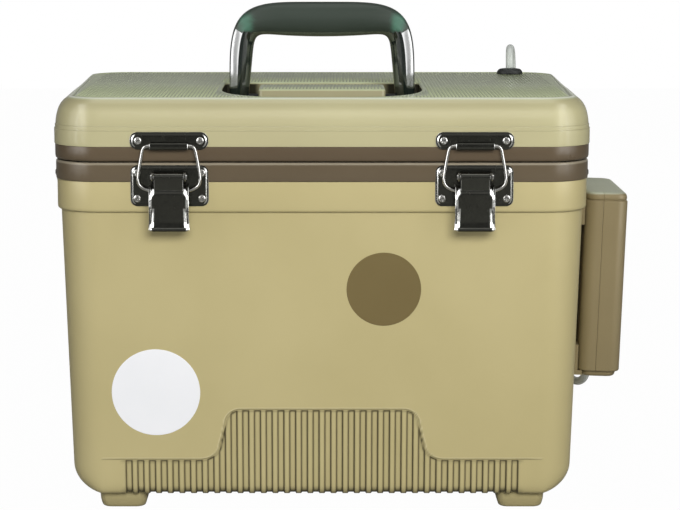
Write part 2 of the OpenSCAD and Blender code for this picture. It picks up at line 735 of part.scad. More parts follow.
module latch_keeper(s) {
    y0 = -lid_d / 2;
    z0 = keeper_z - keeper_h / 2;
    lip_w = 25;
    lip_out = 2 * wire_r + 0.6;
    color(steel_c) at_latch(s) difference() {
        union() {
            front_plate(plate_w, keeper_h, 5, y0, keeper_z, sheet_t * 0.6);
            front_plate(plate_w - 3, keeper_h - 2.4, 4.2, y0, keeper_z, sheet_t);
            translate([-lip_w / 2, y0 - sheet_t - lip_out - lip_t, z0]) cube([lip_w, lip_out + lip_t + sheet_t, lip_t]);
            translate([-lip_w / 2, y0 - sheet_t - lip_out - lip_t, z0]) cube([lip_w, lip_t, 4.2]);
        }
        for (p = keeper_screws) translate([p[0], y0 + 3, p[1]]) rotate([90, 0, 0]) cylinder(r = shank_r + hole_play, h = 8);
    }
}
module latch_base_screws(s) {
    color(steel_c) at_latch(s) for (p = base_screws) translate([p[0], -plate_y - sheet_t, p[1]]) rotate([90, 0, 0]) screw(sheet_t + 2);
}
module latch_keeper_screws(s) {
    color(steel_c) at_latch(s) for (p = keeper_screws) translate([p[0], -lid_d / 2 - sheet_t, p[1]]) rotate([90, 0, 0]) screw(sheet_t + 2);
}

// ---------- strap knobs ----------
module strap_knob(s) {
    color([0.55, 0.56, 0.46]) translate([s * (lid_w / 2 - rim_in), 0, knob_z]) rotate([0, s * 90, 0]) difference() {
        union() {
            cylinder(r = neck_r + 1.5, h = 1);
            cylinder(r = neck_r, h = knob_out);
            translate([0, 0, knob_out - knob_t]) cylinder(r1 = knob_r - 1, r2 = knob_r, h = 1);
            translate([0, 0, knob_out - knob_t + 1]) cylinder(r = knob_r, h = knob_t - 2);
            translate([0, 0, knob_out - 1]) cylinder(r1 = knob_r, r2 = knob_r - 1.2, h = 1);
        }
        translate([0, 0, -1]) cylinder(r = shank_r + hole_play, h = knob_out + 2);
    }
}
module strap_knob_screws() {
    color(steel_c) for (s = [-1, 1]) translate([s * (lid_w / 2 - rim_in + knob_out), 0, knob_z]) rotate([0, s * 90, 0]) screw(knob_out + 2);
}

// ---------- air pump ----------
// The pump's own frame: x out from the tub's right wall, z up along it from
// the lower edge of the collar
module at_pump() { translate([lid_w / 2 - collar_in, pump_y, collar_z]) rotate([0, draft, 0]) children(); }
case_z1 = pump_up;
case_z0 = case_z1 - pump_h;
case_x1 = pump_gap + pump_t;
seam = pump_gap + seam_x;
mid_x = pump_gap + pump_t / 2;
bracket_z1 = -3;
bracket_z0 = case_z0 - 1.5;
bracket_w = pump_d - pump_r;
bracket_t = 2.6;
bracket_end = 16;
bracket_foot = 19.5;
bracket_screw_at = [for (sy = [-1, 1], z = [bracket_z1 - bracket_end - 12, bracket_z0 + bracket_foot + 12]) [sy * 20, z]];
mount_screw_at = [bracket_z1 - bracket_end / 2, bracket_z0 + bracket_foot / 2 + 2];

module bracket_holes() {
    for (p = bracket_screw_at) translate([0, p[0], p[1]]) rotate([0, 90, 0]) screw_hole(shell_bite);
}
module pump_bracket() {
    slot_r = (pump_gap - touch - bracket_t) / 2;
    slot_x = bracket_t + slot_r;
    z0 = bracket_z0 + bracket_foot;
    z1 = bracket_z1 - bracket_end;
    color(pump_c) at_pump() difference() {
        translate([0, bracket_w / 2, 0]) rotate([90, 0, 0]) linear_extrude(bracket_w) difference() {
            translate([touch, bracket_z0]) square([pump_gap - 2 * touch, bracket_z1 - bracket_z0]);
            translate([slot_x, z0 + slot_r]) circle(slot_r);
            translate([slot_x, z1 - slot_r]) circle(slot_r);
            translate([bracket_t, z0 + slot_r]) square([pump_gap, z1 - z0 - 2 * slot_r]);
            translate([slot_x, z0]) square([pump_gap, z1 - z0]);
        }
        for (p = bracket_screw_at) translate([-1, p[0], p[1]]) rotate([0, 90, 0]) cylinder(r = shank_r + hole_play, h = 6);
        for (z = mount_screw_at) translate([1.5, 0, z]) rotate([0, 90, 0]) cylinder(r = shank_r + hole_play, h = pump_gap);
    }
}
module pump_bracket_screws() {
    color(steel_c) at_pump() for (p = bracket_screw_at) translate([bracket_t, p[0], p[1]]) rotate([0, 90, 0]) screw(bracket_t + 2);
}
module pump_mount_screws() {
    color(steel_c) at_pump() for (z = mount_screw_at) translate([pump_gap + case_t, 0, z]) rotate([0, 90, 0]) screw(case_t + 5);
}

// Rounded outline of the case at height z, drawn in by i
function case_ring(i, z) = [for (p = ring(pump_t - 2 * i, pump_d - 2 * i, max(pump_r - i, 1.5), z, 4)) p + [mid_x, 0, 0]];
module case_solid() {
    loft([case_ring(0, case_z0), case_ring(0, case_z1 - pump_lip - 0.8), case_ring(0.9, case_z1 - pump_lip),
        case_ring(0.6, case_z1 - pump_lip + 1), case_ring(0.8, case_z1 - 2.4), case_ring(1.6, case_z1 - 0.7), case_ring(3, case_z1)]);
}
module case_cavity() {
    loft([case_ring(case_t, case_z0 - 1), case_ring(case_t, case_z1 - pump_lip - 1), case_ring(case_t + 1.2, case_z1 - case_t - 0.6)]);
}
switch_z = case_z1 - 20;
slot_l = switch_travel + 8;
module pump_case_inner() {
    color(pump_c) at_pump() difference() {
        intersection() {
            case_solid();
            translate([0, -pump_d, case_z0 - 5]) cube([seam - touch / 2, 2 * pump_d, pump_h + 10]);
        }
        case_cavity();
        for (z = mount_screw_at) translate([pump_gap - 1, 0, z]) rotate([0, 90, 0]) cylinder(r = shank_r + hole_play, h = case_t + 3);
    }
}
module pump_case_outer() {
    color(pump_c) at_pump() difference() {
        intersection() {
            case_solid();
            translate([seam + touch / 2, -pump_d, case_z0 - 5]) cube([pump_t, 2 * pump_d, pump_h + 10]);
        }
        case_cavity();
        translate([case_x1 - case_t - 1, -slot_l / 2, switch_z - 3.2]) cube([case_t + 2, slot_l, 6.4]);
    }
}
nipple_x = mid_x + 0.2;
nipple_y = 22 - pump_y;
module pump_base_cap() {
    color(pump_c) at_pump() difference() {
        union() {
            loft([case_ring(5, case_z0 - cap_h), case_ring(3.4, case_z0 - cap_h + 0.7), case_ring(2.6, case_z0 - cap_h + 2), case_ring(2.4, case_z0 - touch)]);
            loft([case_ring(case_t + touch, case_z0 - touch - 0.1), case_ring(case_t + touch, case_z0 + 2)]);
        }
        translate([nipple_x, nipple_y, case_z0 - 10]) cylinder(r = 2.6, h = 20);
    }
}
// Slide switch: a slider with a finger rib on the outer face, and its body
module pump_switch_body() {
    color([0.1, 0.1, 0.1]) at_pump() translate([case_x1 - case_t - 6.2, -slot_l / 2 - 2, switch_z - 5]) cube([4.4, slot_l + 4, 10]);
}
module pump_switch_slider() {
    color([0.1, 0.1, 0.1]) at_pump() translate([0, -switch_travel / 2, switch_z]) {
        translate([case_x1 - case_t - 1.5, -3.6, -2.9]) cube([case_t + 1.8, 7.2, 5.8]);
        translate([case_x1 + 0.2, -3.6, -2.9]) cube([1.2, 7.2, 5.8]);
        for (k = [-1, 0, 1]) translate([case_x1 + 1.3, k * 2.6 - 0.5, -2.9]) cube([0.7, 1, 5.8]);
    }
}
// Barbed outlet under the case, bored through, with its collar inside
module pump_air_nipple() {
    color(pump_c) at_pump() translate([nipple_x, nipple_y, 0]) difference() {
        union() {
            translate([0, 0, case_z0 + 2.1]) cylinder(r = 4, h = 2);
            translate([0, 0, case_z0 - cap_h - 0.1]) cylinder(r = 2.5, h = cap_h + 4);
        translate([0, 0, case_z0 + 4]) cylinder(r = 1.9, h = 2);
        }
        translate([0, 0, case_z0 - cap_h - 1]) cylinder(r = 1.2, h = cap_h + 8);
    }
}
// Four cells stand side by side over the base cap, between spring and plate
cell_pitch = 2 * cell_r + 1.2;
cell_z = case_z0 + 9;
cells_y = -pump_d / 2 + case_t + 2 * cell_pitch + 0.3;
cells = [for (k = [-1.5, -0.5, 0.5, 1.5]) cells_y + k * cell_pitch];
cell_x = mid_x + 2.4;
module pump_batteries() {
    color([0.75, 0.6, 0.3]) at_pump() for (y = cells) translate([cell_x, y, cell_z]) {
        cylinder(r = cell_r, h = cell_h);
        translate([0, 0, cell_h]) cylinder(r = 2.7, h = 1);
    }
}
module pump_battery_contacts() {
    w = 4 * cell_pitch - 3;
    color(steel_c) at_pump() for (z = [case_z0 + 4.4, cell_z + cell_h + 1.1])
        translate([cell_x - cell_r, cells_y - w / 2, z]) cube([2 * cell_r, w, 0.6]);
}
module pump_battery_springs() {
    color(steel_c) at_pump() for (y = cells) translate([cell_x, y, case_z0 + 5.1]) difference() {
        cylinder(r1 = 4.6, r2 = 3, h = cell_z - case_z0 - 5.2);
        translate([0, 0, -1]) cylinder(r = 1.8, h = 8);
    }
}
// Motor lying front to back, its cam over the diaphragm's tappet
motor_z = case_z1 - 37;
motor_y0 = -pump_d / 2 + 9;
cam_y = motor_y0 + motor_h + 8;
cam_r = 4.5;
cam_off = 1.2;
motor_x = mid_x;
module pump_motor() {
    color(steel_c) at_pump() difference() {
        union() {
            translate([motor_x, motor_y0, motor_z]) rotate([-90, 0, 0]) cylinder(r = motor_r, h = motor_h);
            translate([motor_x, motor_y0 + motor_h, motor_z]) rotate([-90, 0, 0]) cylinder(r = 3, h = 1.6);
            translate([pump_gap + case_t + touch, motor_y0 + 2, motor_z - 3]) cube([motor_x - pump_gap - case_t - touch, motor_h - 4, 6]);
        }
        translate([motor_x, motor_y0 + 4, motor_z]) rotate([-90, 0, 0]) cylinder(r = 1 + pin_play, h = motor_h);
    }
}
module pump_motor_shaft() {
    color(steel_c) at_pump() translate([motor_x, 0, motor_z]) {
        translate([0, motor_y0 + 5, 0]) rotate([-90, 0, 0]) cylinder(r = 1, h = motor_h + 8);
        translate([0, cam_y - 3.5, 0]) rotate([-90, 0, 0]) cylinder(r = 2.6, h = 1.6);
        translate([0, cam_y - 2, -cam_off]) rotate([-90, 0, 0]) cylinder(r = cam_r, h = 5);
    }
}
head_top = motor_z - cam_off - cam_r - 6;
module pump_head() {
    color([0.2, 0.2, 0.2]) at_pump() difference() {
        union() {
            translate([motor_x - 9, cam_y - 10, head_top - 12]) cube([18, 21, 12]);
            translate([pump_gap + case_t + touch, cam_y - 6, head_top - 12]) cube([motor_x - pump_gap - case_t - touch, 13, 8]);
            translate([motor_x, cam_y + 10, head_top - 6]) rotate([-90, 0, 0]) cylinder(r = 1.9, h = 6);
        }
        translate([motor_x, cam_y + 0.5, head_top - 7]) cylinder(r = 6.6, h = 20);
        translate([motor_x, cam_y + 4, head_top - 6]) rotate([-90, 0, 0]) cylinder(r = 1, h = 20);
    }
}
module pump_diaphragm() {
    color([0.15, 0.15, 0.15]) at_pump() translate([motor_x, cam_y + 0.5, 0]) {
        translate([0, 0, head_top + touch]) cylinder(r = 8.6, h = 1.2);
        translate([0, 0, head_top - 3]) cylinder(r = 5, h = 3.5);
        translate([0, 0, head_top + 1]) cylinder(r = 2.2, h = 4);
        translate([0, 0, head_top + 4.4]) cylinder(r = 3.6, h = 1.3);
    }
}
// Tube from the pump's head down past the cells to the outlet
module pump_inner_tube() {
    zt = head_top - 6;
    y0 = cam_y + 16.2;
    zn = case_z0 + 6.1;
    path = [[motor_x, y0, zt], [motor_x, y0 + 3, zt], [motor_x, y0 + 7, zt - 1], [motor_x, y0 + 10, zt - 3.4], [motor_x, nipple_y, zt - 8],
        [motor_x, nipple_y, zt - 16], [(motor_x + nipple_x) / 2, nipple_y, (zt + zn) / 2],
        [nipple_x, nipple_y, zn + 9], [nipple_x, nipple_y, zn]];
    color(hose_c) at_pump() loft(tube_rings(path, 1.9, 8, [1, 0, 0]));
}

// ---------- air hose ----------
bore_r = hose_r + 0.4;
// From the outlet down and back under the case, up behind it and round the
// rear corner onto the axis of the lid's hinges
hose_body_route = [[194, 22, 77.4], [194, 22, 71.6], [193.8, 22.8, 65.8], [192.4, 25.6, 60.6], [189.8, 30.8, 57.4], [186.8, 37.4, 56.6],
    [184.2, 44.4, 58.2], [182.6, 51.2, 62.2], [182, 57.2, 68.6], [182, 62.2, 77], [182.6, 68, 88], [183.6, 77, 102.6], [184.6, 86, 122], [185.4, 95, 144], [187, 104, 166],
    [189.6, 112, 187], [192.8, 119, 205], [195.6, 124, 218], [196, 127.6, 228], [192, 129.4, 235], [185.6, 129.7, 237.6],
    [178, 129.7, 237.6], [170, 129.7, 237.6], [163, 129.7, 237.6]];
// From the axis up behind the lid and over into the grommet
hose_lid_route = [[162.8, 129.7, 237.6], [160, 129.7, 237.6], [155.6, 129.9, 238.6], [150.6, 130.6, 243], [147.4, 131.4, 250], [146.4, 131.8, 259], [146.4, 131.8, 270],
    [146.2, 131.6, 280], [145.8, 130.4, 288], [145, 126.6, 294], [143.8, 120.6, 297], [142.8, 113.6, 296.6], [142.2, 107.6, 293.4],
    [142, 104.4, 288], [142, 104, 283]];
hose_drop_route = [[142, 104, 274], [142, 104, 262], [142, 104, 250], [142, 104, 238], [142, 104, 222.4]];
// Inside the bucket, down to the air stone on the floor
hose_inner_route = [[142, 104, 222], [142, 103.8, 208], [141.4, 103, 192], [140, 101.4, 174], [137.6, 99, 156], [134.4, 95.6, 138],
    [130.6, 91.2, 120], [126.6, 86, 102], [122.6, 80, 84], [118.6, 73.6, 68], [114, 66.6, 54], [108, 58.6, 43.6], [100.4, 49.4, 38.6],
    [92, 40, 37.4], [84, 31, 37.2]];

module hose(route, side) { color(hose_c) loft(tube_rings(route, hose_r, 10, side)); }
module hose_grommet() {
    color([0.08, 0.08, 0.08]) translate([grommet_x, grommet_y, 0]) difference() {
        union() {
            translate([0, 0, total_h]) cylinder(r1 = grommet_r, r2 = grommet_r - 1.2, h = grommet_h);
            translate([0, 0, total_h - 3]) cylinder(r = bore_r - touch, h = 3.2);
        }
        translate([0, 0, total_h - 4]) cylinder(r = 1.6, h = 10);
    }
}
stone_z = floor_z + stone_r + 0.1;
stone_dir = 228.4;
stone_at = hose_inner_route[len(hose_inner_route) - 1];
module at_stone() { translate(stone_at) rotate([0, 0, stone_dir]) rotate([0, 90, 0]) children(); }
module air_stone_fitting() {
    color([0.9, 0.9, 0.9]) at_stone() difference() {
        translate([0, 0, 0.1]) cylinder(r1 = hose_r, r2 = stone_r * 0.8, h = 6);
        translate([0, 0, -1]) cylinder(r = 1.2, h = 8);
    }
}
module air_stone() {
    color([0.55, 0.6, 0.66]) at_stone() difference() {
        translate([0, 0, 6.2]) cylinder(r = stone_r, h = stone_h);
        translate([0, 0, 6]) cylinder(r = 1.2, h = stone_h / 2);
    }
}

body_shell();
body_foam();
body_liner();
lid_shell();
lid_foam();
lid_liner();
lid_gasket();
handle();
handle_rod();
hinge_body_leaf(-1);  // hinge_body_leaf_left
hinge_body_leaf(1);  // hinge_body_leaf_right
hinge_lid_leaf(-1);  // hinge_lid_leaf_left
hinge_lid_leaf(1);  // hinge_lid_leaf_right
hinge_pin(-1);  // hinge_pin_left
hinge_pin(1);  // hinge_pin_right
hinge_body_screws();
hinge_lid_screws();
latch_base(-1);  // latch_base_left
latch_base(1);  // latch_base_right
latch_lever(-1);  // latch_lever_left
latch_lever(1);  // latch_lever_right
latch_bail(-1);  // latch_bail_left
latch_bail(1);  // latch_bail_right
latch_pin(-1);  // latch_pin_left
latch_pin(1);  // latch_pin_right
latch_keeper(-1);  // latch_keeper_left
latch_keeper(1);  // latch_keeper_right
latch_base_screws(-1);  // latch_base_screws_left
latch_base_screws(1);  // latch_base_screws_right
latch_keeper_screws(-1);  // latch_keeper_screws_left
latch_keeper_screws(1);  // latch_keeper_screws_right
strap_knob(-1);  // strap_knob_left
strap_knob(1);  // strap_knob_right
strap_knob_screws();
pump_bracket();
pump_bracket_screws();
pump_mount_screws();
pump_case_inner();
pump_case_outer();
pump_base_cap();
pump_switch_body();
pump_switch_slider();
pump_air_nipple();
pump_inner_tube();
pump_batteries();
pump_battery_contacts();
pump_battery_springs();
pump_motor();
pump_motor_shaft();
pump_head();
pump_diaphragm();
hose_grommet();
hose(hose_body_route, [1, 0, 0]);  // hose_outer_body
hose(hose_lid_route, [0, 0, 1]);  // hose_outer_lid
hose(hose_drop_route, [1, 0, 0]);  // hose_inner_lid
hose(hose_inner_route, [1, 0, 0]);  // hose_inner_body
air_stone();
air_stone_fitting();
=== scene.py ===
# %% [markdown]
# # Aerated bait bucket
# A small insulated cooler for live bait. The solid model gives every piece its
# place; this lesson dresses it. Everything is in metres, with the origin on the
# floor in the middle of the footprint, the front towards -Y and Z up. Profiles
# are written in millimetres.

import math

import bpy
import numpy as np
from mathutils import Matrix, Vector


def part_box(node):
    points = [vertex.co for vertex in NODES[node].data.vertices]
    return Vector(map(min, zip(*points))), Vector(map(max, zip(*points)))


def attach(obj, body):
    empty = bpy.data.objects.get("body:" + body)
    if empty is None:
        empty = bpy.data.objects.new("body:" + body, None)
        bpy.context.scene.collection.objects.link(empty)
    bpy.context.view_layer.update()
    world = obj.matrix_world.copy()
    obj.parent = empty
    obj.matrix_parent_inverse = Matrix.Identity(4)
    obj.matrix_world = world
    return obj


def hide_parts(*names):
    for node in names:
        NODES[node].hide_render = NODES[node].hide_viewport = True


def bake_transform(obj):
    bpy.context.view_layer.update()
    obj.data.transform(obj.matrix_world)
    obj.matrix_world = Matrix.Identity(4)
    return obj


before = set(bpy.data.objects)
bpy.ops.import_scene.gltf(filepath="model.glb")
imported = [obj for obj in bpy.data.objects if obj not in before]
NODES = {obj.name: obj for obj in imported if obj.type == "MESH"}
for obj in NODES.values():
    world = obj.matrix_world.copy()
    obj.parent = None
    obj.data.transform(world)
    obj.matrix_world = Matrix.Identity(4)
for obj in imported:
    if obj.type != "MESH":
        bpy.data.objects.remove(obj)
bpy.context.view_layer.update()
MM = 0.001

# %% [markdown]
# ## The camera
# The photograph was taken from a little above, with a long lens. The distance
# and the tilt were worked out from the round stickers and the lid's edges.

# %% Camera
CAMERA_BACK = 1.4945
CAMERA_UP = 0.3937
CAMERA_TILT = 9.022
lens = bpy.data.cameras.new("camera")
lens.sensor_width = 36
lens.lens = 111.7
lens.shift_x = 0.0265
camera = bpy.data.objects.new("camera", lens)
camera.location = (0, -CAMERA_BACK, CAMERA_UP)
camera.rotation_euler = (math.radians(90 - CAMERA_TILT), 0, 0)
bpy.context.collection.objects.link(camera)
bpy.context.scene.camera = camera

# %% [markdown]
# ## Meshes from arrays
# Each new piece is a surface of two parameters. Rows of points are worked out as
# whole arrays, and one helper turns the grid into a mesh.


# %% Mesh helpers
def mesh_piece(name, points, faces):
    """A smooth object at the origin, its faces turned to point outwards."""
    points = np.asarray(points, float).reshape(-1, 3)
    a, b, c = points[np.array([f[:3] for f in faces]).T]
    if np.einsum("ij,ij->i", a - points.mean(0), np.cross(b - a, c - a)).sum() < 0:
        faces = [tuple(reversed(f)) for f in faces]
    mesh = bpy.data.meshes.new(name)
    mesh.from_pydata(points.tolist(), [], faces)
    mesh.polygons.foreach_set("use_smooth", np.ones(len(faces), bool))
    mesh.update()
    piece = bpy.data.objects.new(name, mesh)
    bpy.context.collection.objects.link(piece)
    return piece


def grid_faces(rows, cols, around=True):
    """Quads between neighbouring rows of a grid, closed round each row if asked."""
    r, c = np.meshgrid(np.arange(rows - 1), np.arange(cols if around else cols - 1), indexing="ij")
    d = (c + 1) % cols
    quads = np.stack([r * cols + c, r * cols + d, (r + 1) * cols + d, (r + 1) * cols + c], -1)
    return [tuple(q) for q in quads.reshape(-1, 4).tolist()]


def loft(name, rings, cap_start=True, cap_end=True):
    """A skin over rings of equal length, with a flat face on each end that is asked for."""
    rings = np.asarray(rings, float)
    rows, cols = rings.shape[:2]
    faces = grid_faces(rows, cols)
    if cap_start:
        faces.append(tuple(range(cols - 1, -1, -1)))
    if cap_end:
        faces.append(tuple(range((rows - 1) * cols, rows * cols)))
    return mesh_piece(name, rings, faces)


def join(name, objects):
    """One object made of several."""
    bpy.ops.object.select_all(action="DESELECT")
    for o in objects:
        o.select_set(True)
    bpy.context.view_layer.objects.active = objects[0]
    bpy.ops.object.join()
    objects[0].name = name
    objects[0].data.name = name
    return objects[0]


def corner_points(piece):
    """The corner points of a piece as an array, in metres."""
    return np.array([v.co for v in piece.data.vertices])


def smoothstep(t):
    """Eases from 0 to 1: t * t * (3 - 2 t)."""
    t = np.clip(t, 0, 1)
    return t * t * (3 - 2 * t)


def bell(t):
    """A smooth hump of height 1 at 0: exp(-t^2)."""
    return np.exp(-(t**2))


# %% Rings
CORNERS = [(1, 1), (-1, 1), (-1, -1), (1, -1)]


def full_turn(n):
    """Angles of n points round a circle."""
    return np.linspace(0, 2 * np.pi, n, endpoint=False)


def quarter_turn(n):
    """Angles of n points over a quarter of a circle, with both its ends."""
    return np.linspace(0, np.pi / 2, n)


def at_height(xy, z):
    """Points (x, y) all at one height."""
    return np.column_stack([xy, np.full(len(xy), z)])


def rounded_box(x, y, half_x, half_y, r, n):
    """n points of a rectangle with round corners: a circle cut in four and moved apart."""
    c, s = np.cos(full_turn(n)), np.sin(full_turn(n))
    return np.column_stack([x + np.sign(np.round(c, 6)) * (half_x - r) + r * c,
        y + np.sign(np.round(s, 6)) * (half_y - r) + r * s])


def four_arcs(x, y, half_x, half_y, r):
    """A rectangle with an arc of 12 points at each corner."""
    a = quarter_turn(12)
    return np.vstack([np.column_stack([x + sx * (half_x - r) + r * np.cos(a + k * np.pi / 2),
        y + sy * (half_y - r) + r * np.sin(a + k * np.pi / 2)]) for k, (sx, sy) in enumerate(CORNERS)])


# %% Tubes along a route
def curve_through(points, per_span=6):
    """A Catmull-Rom curve: each span is a cubic whose slopes are half the step between its neighbours."""
    p = np.asarray(points, float)
    p = np.vstack([2 * p[0] - p[1], p, 2 * p[-1] - p[-2]])
    t = np.linspace(0, 1, per_span, endpoint=False)[None, :, None]
    a, b, c, d = (p[i : len(p) - 3 + i][:, None, :] for i in range(4))
    out = 0.5 * (2 * b + (c - a) * t + (2 * a - 5 * b + 4 * c - d) * t**2 + (3 * b - a - 3 * c + d) * t**3)
    return np.vstack([out.reshape(-1, p.shape[1]), p[-2]])


def tube_rings(path, radius, sides, across):
    """Circles square to a path, with the first side turned as little as possible from point to point."""
    tangent = np.gradient(path, axis=0)
    tangent /= np.linalg.norm(tangent, axis=1)[:, None]
    u = np.array(across, float)
    frames = []
    for t in tangent:
        u = u - (u @ t) * t
        u /= np.linalg.norm(u)
        frames.append(u)
    u = np.array(frames)
    angle = full_turn(sides)[None, :, None]
    ring = np.cos(angle) * u[:, None, :] + np.sin(angle) * np.cross(tangent, u)[:, None, :]
    return path[:, None, :] + np.broadcast_to(radius, len(path))[:, None, None] * ring


def length_of(path):
    """Length of a line of points, in metres."""
    return float(np.linalg.norm(np.diff(path, axis=0), axis=1).sum())


# %% [markdown]
# ## The air hose
# Soft clear airline, 6 mm outside. It leaves the outlet under the pump, hangs in
# a short loop, climbs behind the bucket and crosses the lid's hinge line along
# the hinge's own axis. It dips into the grommet on the lid, and inside it runs
# down to the air stone.

# %% Outside hose
HOSE_R = 3.0 * MM
OUTER_SKIN_R = 0.98 * HOSE_R
body_route = [(194, 22, 77.4), (194, 22, 71.6), (193.8, 22.8, 65.8), (192.4, 25.6, 60.6),
    (189.8, 30.8, 57.4), (186.8, 37.4, 56.6), (184.2, 44.4, 58.2), (182.6, 51.2, 62.2), (182, 57.2, 68.6),
    (182, 62.2, 77), (182.6, 68, 88), (183.6, 77, 102.6), (184.6, 86, 122), (185.4, 95, 144),
    (187, 104, 166), (189.6, 112, 187), (192.8, 119, 205), (195.6, 124, 218), (196, 127.6, 228),
    (192, 129.4, 235), (185.6, 129.7, 237.6), (178, 129.7, 237.6), (170, 129.7, 237.6),
    (163, 129.7, 237.6)]
lid_route = [(160, 129.7, 237.6), (155.6, 129.9, 238.6), (150.6, 130.6, 243), (147.4, 131.4, 250),
    (146.4, 131.8, 259), (146.4, 131.8, 270), (146.2, 131.6, 280), (145.8, 130.4, 288), (145, 126.6, 294),
    (143.8, 120.6, 297), (142.8, 113.6, 296.6), (142.2, 107.6, 293.4), (142, 104.4, 288), (142, 104, 283)]
outer_path = curve_through(np.array(body_route + lid_route) * MM, 5)
hose_outer = loft("air_hose_outside", tube_rings(outer_path, OUTER_SKIN_R, 20, (1, 0, 0)))
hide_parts("hose_outer_body", "hose_outer_lid")
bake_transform(hose_outer)
print("outside hose", round(length_of(outer_path), 3), "m")

# %% Inside hose
inner_route = [(142, 104, 274), (142, 104, 262), (142, 104, 250), (142, 104, 238), (142, 104, 222.4),
    (142, 103.8, 208), (141.4, 103, 192), (140, 101.4, 174), (137.6, 99, 156), (134.4, 95.6, 138),
    (130.6, 91.2, 120), (126.6, 86, 102), (122.6, 80, 84), (118.6, 73.6, 68), (114, 66.6, 54),
    (108, 58.6, 43.6), (100.4, 49.4, 38.6), (92, 40, 37.4), (84, 31, 37.2)]
inner_path = curve_through(np.array(inner_route) * MM, 5)
hose_inner = loft("air_hose_inside", tube_rings(inner_path, HOSE_R, 20, (1, 0, 0)))
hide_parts("hose_inner_lid", "hose_inner_body")
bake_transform(hose_inner)
print("inside hose", round(length_of(inner_path), 3), "m")

# %% [markdown]
# ## Studio
# A pale floor, one big lamp in front, two strips and a fill behind. Where the
# world shows directly it is white; shiny surfaces reflect panels and windows
# painted into it by direction.


# %% Shader helpers
class Value:
    """An output socket; + - * add Math nodes."""

    def __init__(self, tree, socket):
        self.tree, self.socket = tree, socket

    def math(self, operation, *others):
        n = self.tree.nodes.new("ShaderNodeMath")
        n.operation = operation
        for i, v in enumerate((self, *others)):
            put(self.tree, n.inputs[i], v)
        return Value(self.tree, n.outputs[0])

    def __add__(self, o): return self.math("ADD", o)
    def __sub__(self, o): return self.math("SUBTRACT", o)
    def __mul__(self, o): return self.math("MULTIPLY", o)
    def __neg__(self): return self.math("MULTIPLY", -1.0)
    def __rsub__(self, o): return (-self).math("ADD", o)


def put(tree, socket, v):
    """Links a Value to a socket, or sets a number or a colour on it."""
    if isinstance(v, Value):
        tree.links.new(v.socket, socket)
    else:
        socket.default_value = v


def linear(*rgb):
    """A colour of 0 to 255 as the eye sees it, in the renderer's linear light."""
    c = np.array(rgb) / 255
    c = np.where(c <= 0.04045, c / 12.92, ((c + 0.055) / 1.055) ** 2.4)
    return (*c.tolist(), 1.0)


class Graph:
    """A node tree: node() adds a node and sets its sockets by name, or by number as i0, i1 and on."""

    def __init__(self, tree):
        self.tree = tree

    def node(self, kind, out=0, settings=None, **sockets):
        n = self.tree.nodes.new("ShaderNode" + kind)
        for key, v in (settings or {}).items():
            setattr(n, key, v)
        for key, v in sockets.items():
            numbered = key[0] == "i" and key[1:].isdigit()
            put(self.tree, n.inputs[int(key[1:]) if numbered else key.replace("_", " ")], v)
        return Value(self.tree, n.outputs[out])

    def spread(self, v, low, high):
        """0 below low, 1 above high, straight between."""
        return self.node("MapRange", Value=v, From_Min=low, From_Max=high)

    def seen_directly(self):
        """1 for a ray from the camera or through a clear piece."""
        through = self.node("LightPath", "Is Transmission Ray")
        return self.node("LightPath", "Is Camera Ray").math("MAXIMUM", through)


class Finish(Graph):
    """A material under construction."""

    def __init__(self, name):
        self.material = bpy.data.materials.new(name)
        self.material.use_nodes = True
        super().__init__(self.material.node_tree)
        self.shader = next(n for n in self.tree.nodes if n.type == "BSDF_PRINCIPLED")

    def place(self):
        """Object coordinates, in metres."""
        return self.node("TexCoord", 3)

    def noise(self, scale, detail=3.0, where=None):
        return self.node("TexNoise", Vector=where or self.place(), Scale=scale, Detail=detail)

    def mix(self, share, a, b):
        """Colour a where the share is 0 and b where it is 1."""
        return self.node("Mix", 2, {"data_type": "RGBA"}, i0=share, i6=a, i7=b)

    def bump(self, height, distance):
        return self.node("Bump", Height=height, Distance=distance)

    def set(self, **sockets):
        for key, v in sockets.items():
            put(self.tree, self.shader.inputs[key.replace("_", " ")], v)
        return self.material


# %% Stage
FLOOR_SIZE = 6.0
bpy.ops.mesh.primitive_plane_add(size=FLOOR_SIZE, location=(0, 0.5, 0))
floor = bpy.context.object
floor.name = "floor"
paper = Finish("studio_paper")
paper.set(Base_Color=linear(150, 150, 146), Roughness=0.9)
glow = paper.node("Emission", Color=(1, 1, 1, 1), Strength=1.0)
matt = Value(paper.tree, paper.shader.outputs[0])
skin = paper.node("MixShader", i0=paper.seen_directly() * 0.985, i1=matt, i2=glow)
put(paper.tree, next(n for n in paper.tree.nodes if n.type == "OUTPUT_MATERIAL").inputs[0], skin)
floor.data.materials.append(paper.material)

# %% World
AMBIENT = 0.27
world = bpy.data.worlds.new("studio")
bpy.context.scene.world = world
world.use_nodes = True
world.node_tree.nodes.clear()
sky = Graph(world.node_tree)
ramp = sky.spread
direction = sky.node("TexCoord", "Generated")
ray_x, ray_y, ray_z = (sky.node("SeparateXYZ", i, Vector=direction) for i in range(3))
sideways = ray_x.math("ABSOLUTE")
in_front = ramp(-ray_y, 0.02, 0.25)
side_panels = ramp(sideways, 0.40, 0.55) * in_front
window = ramp(sideways, 0.57, 0.61) * (1.0 - ramp(sideways, 0.72, 0.76)) * in_front
overhead = ramp(ray_z, 0.88, 0.96)
horizon = ramp(ray_y, 0.5, 0.9) * ramp(-ray_z, -0.5, -0.2)
front_soft = ramp(-ray_y, 0.5, 0.8) * ramp(ray_z, 0.02, 0.3)
reflected = side_panels * 2.3 + window * 4.0 + front_soft * 0.5 + overhead * 2.0 + horizon * 0.22 + 0.07
level = sky.node("LightPath", "Is Glossy Ray") * (reflected - AMBIENT) + AMBIENT
level = sky.seen_directly() * (1.0 - level) + level
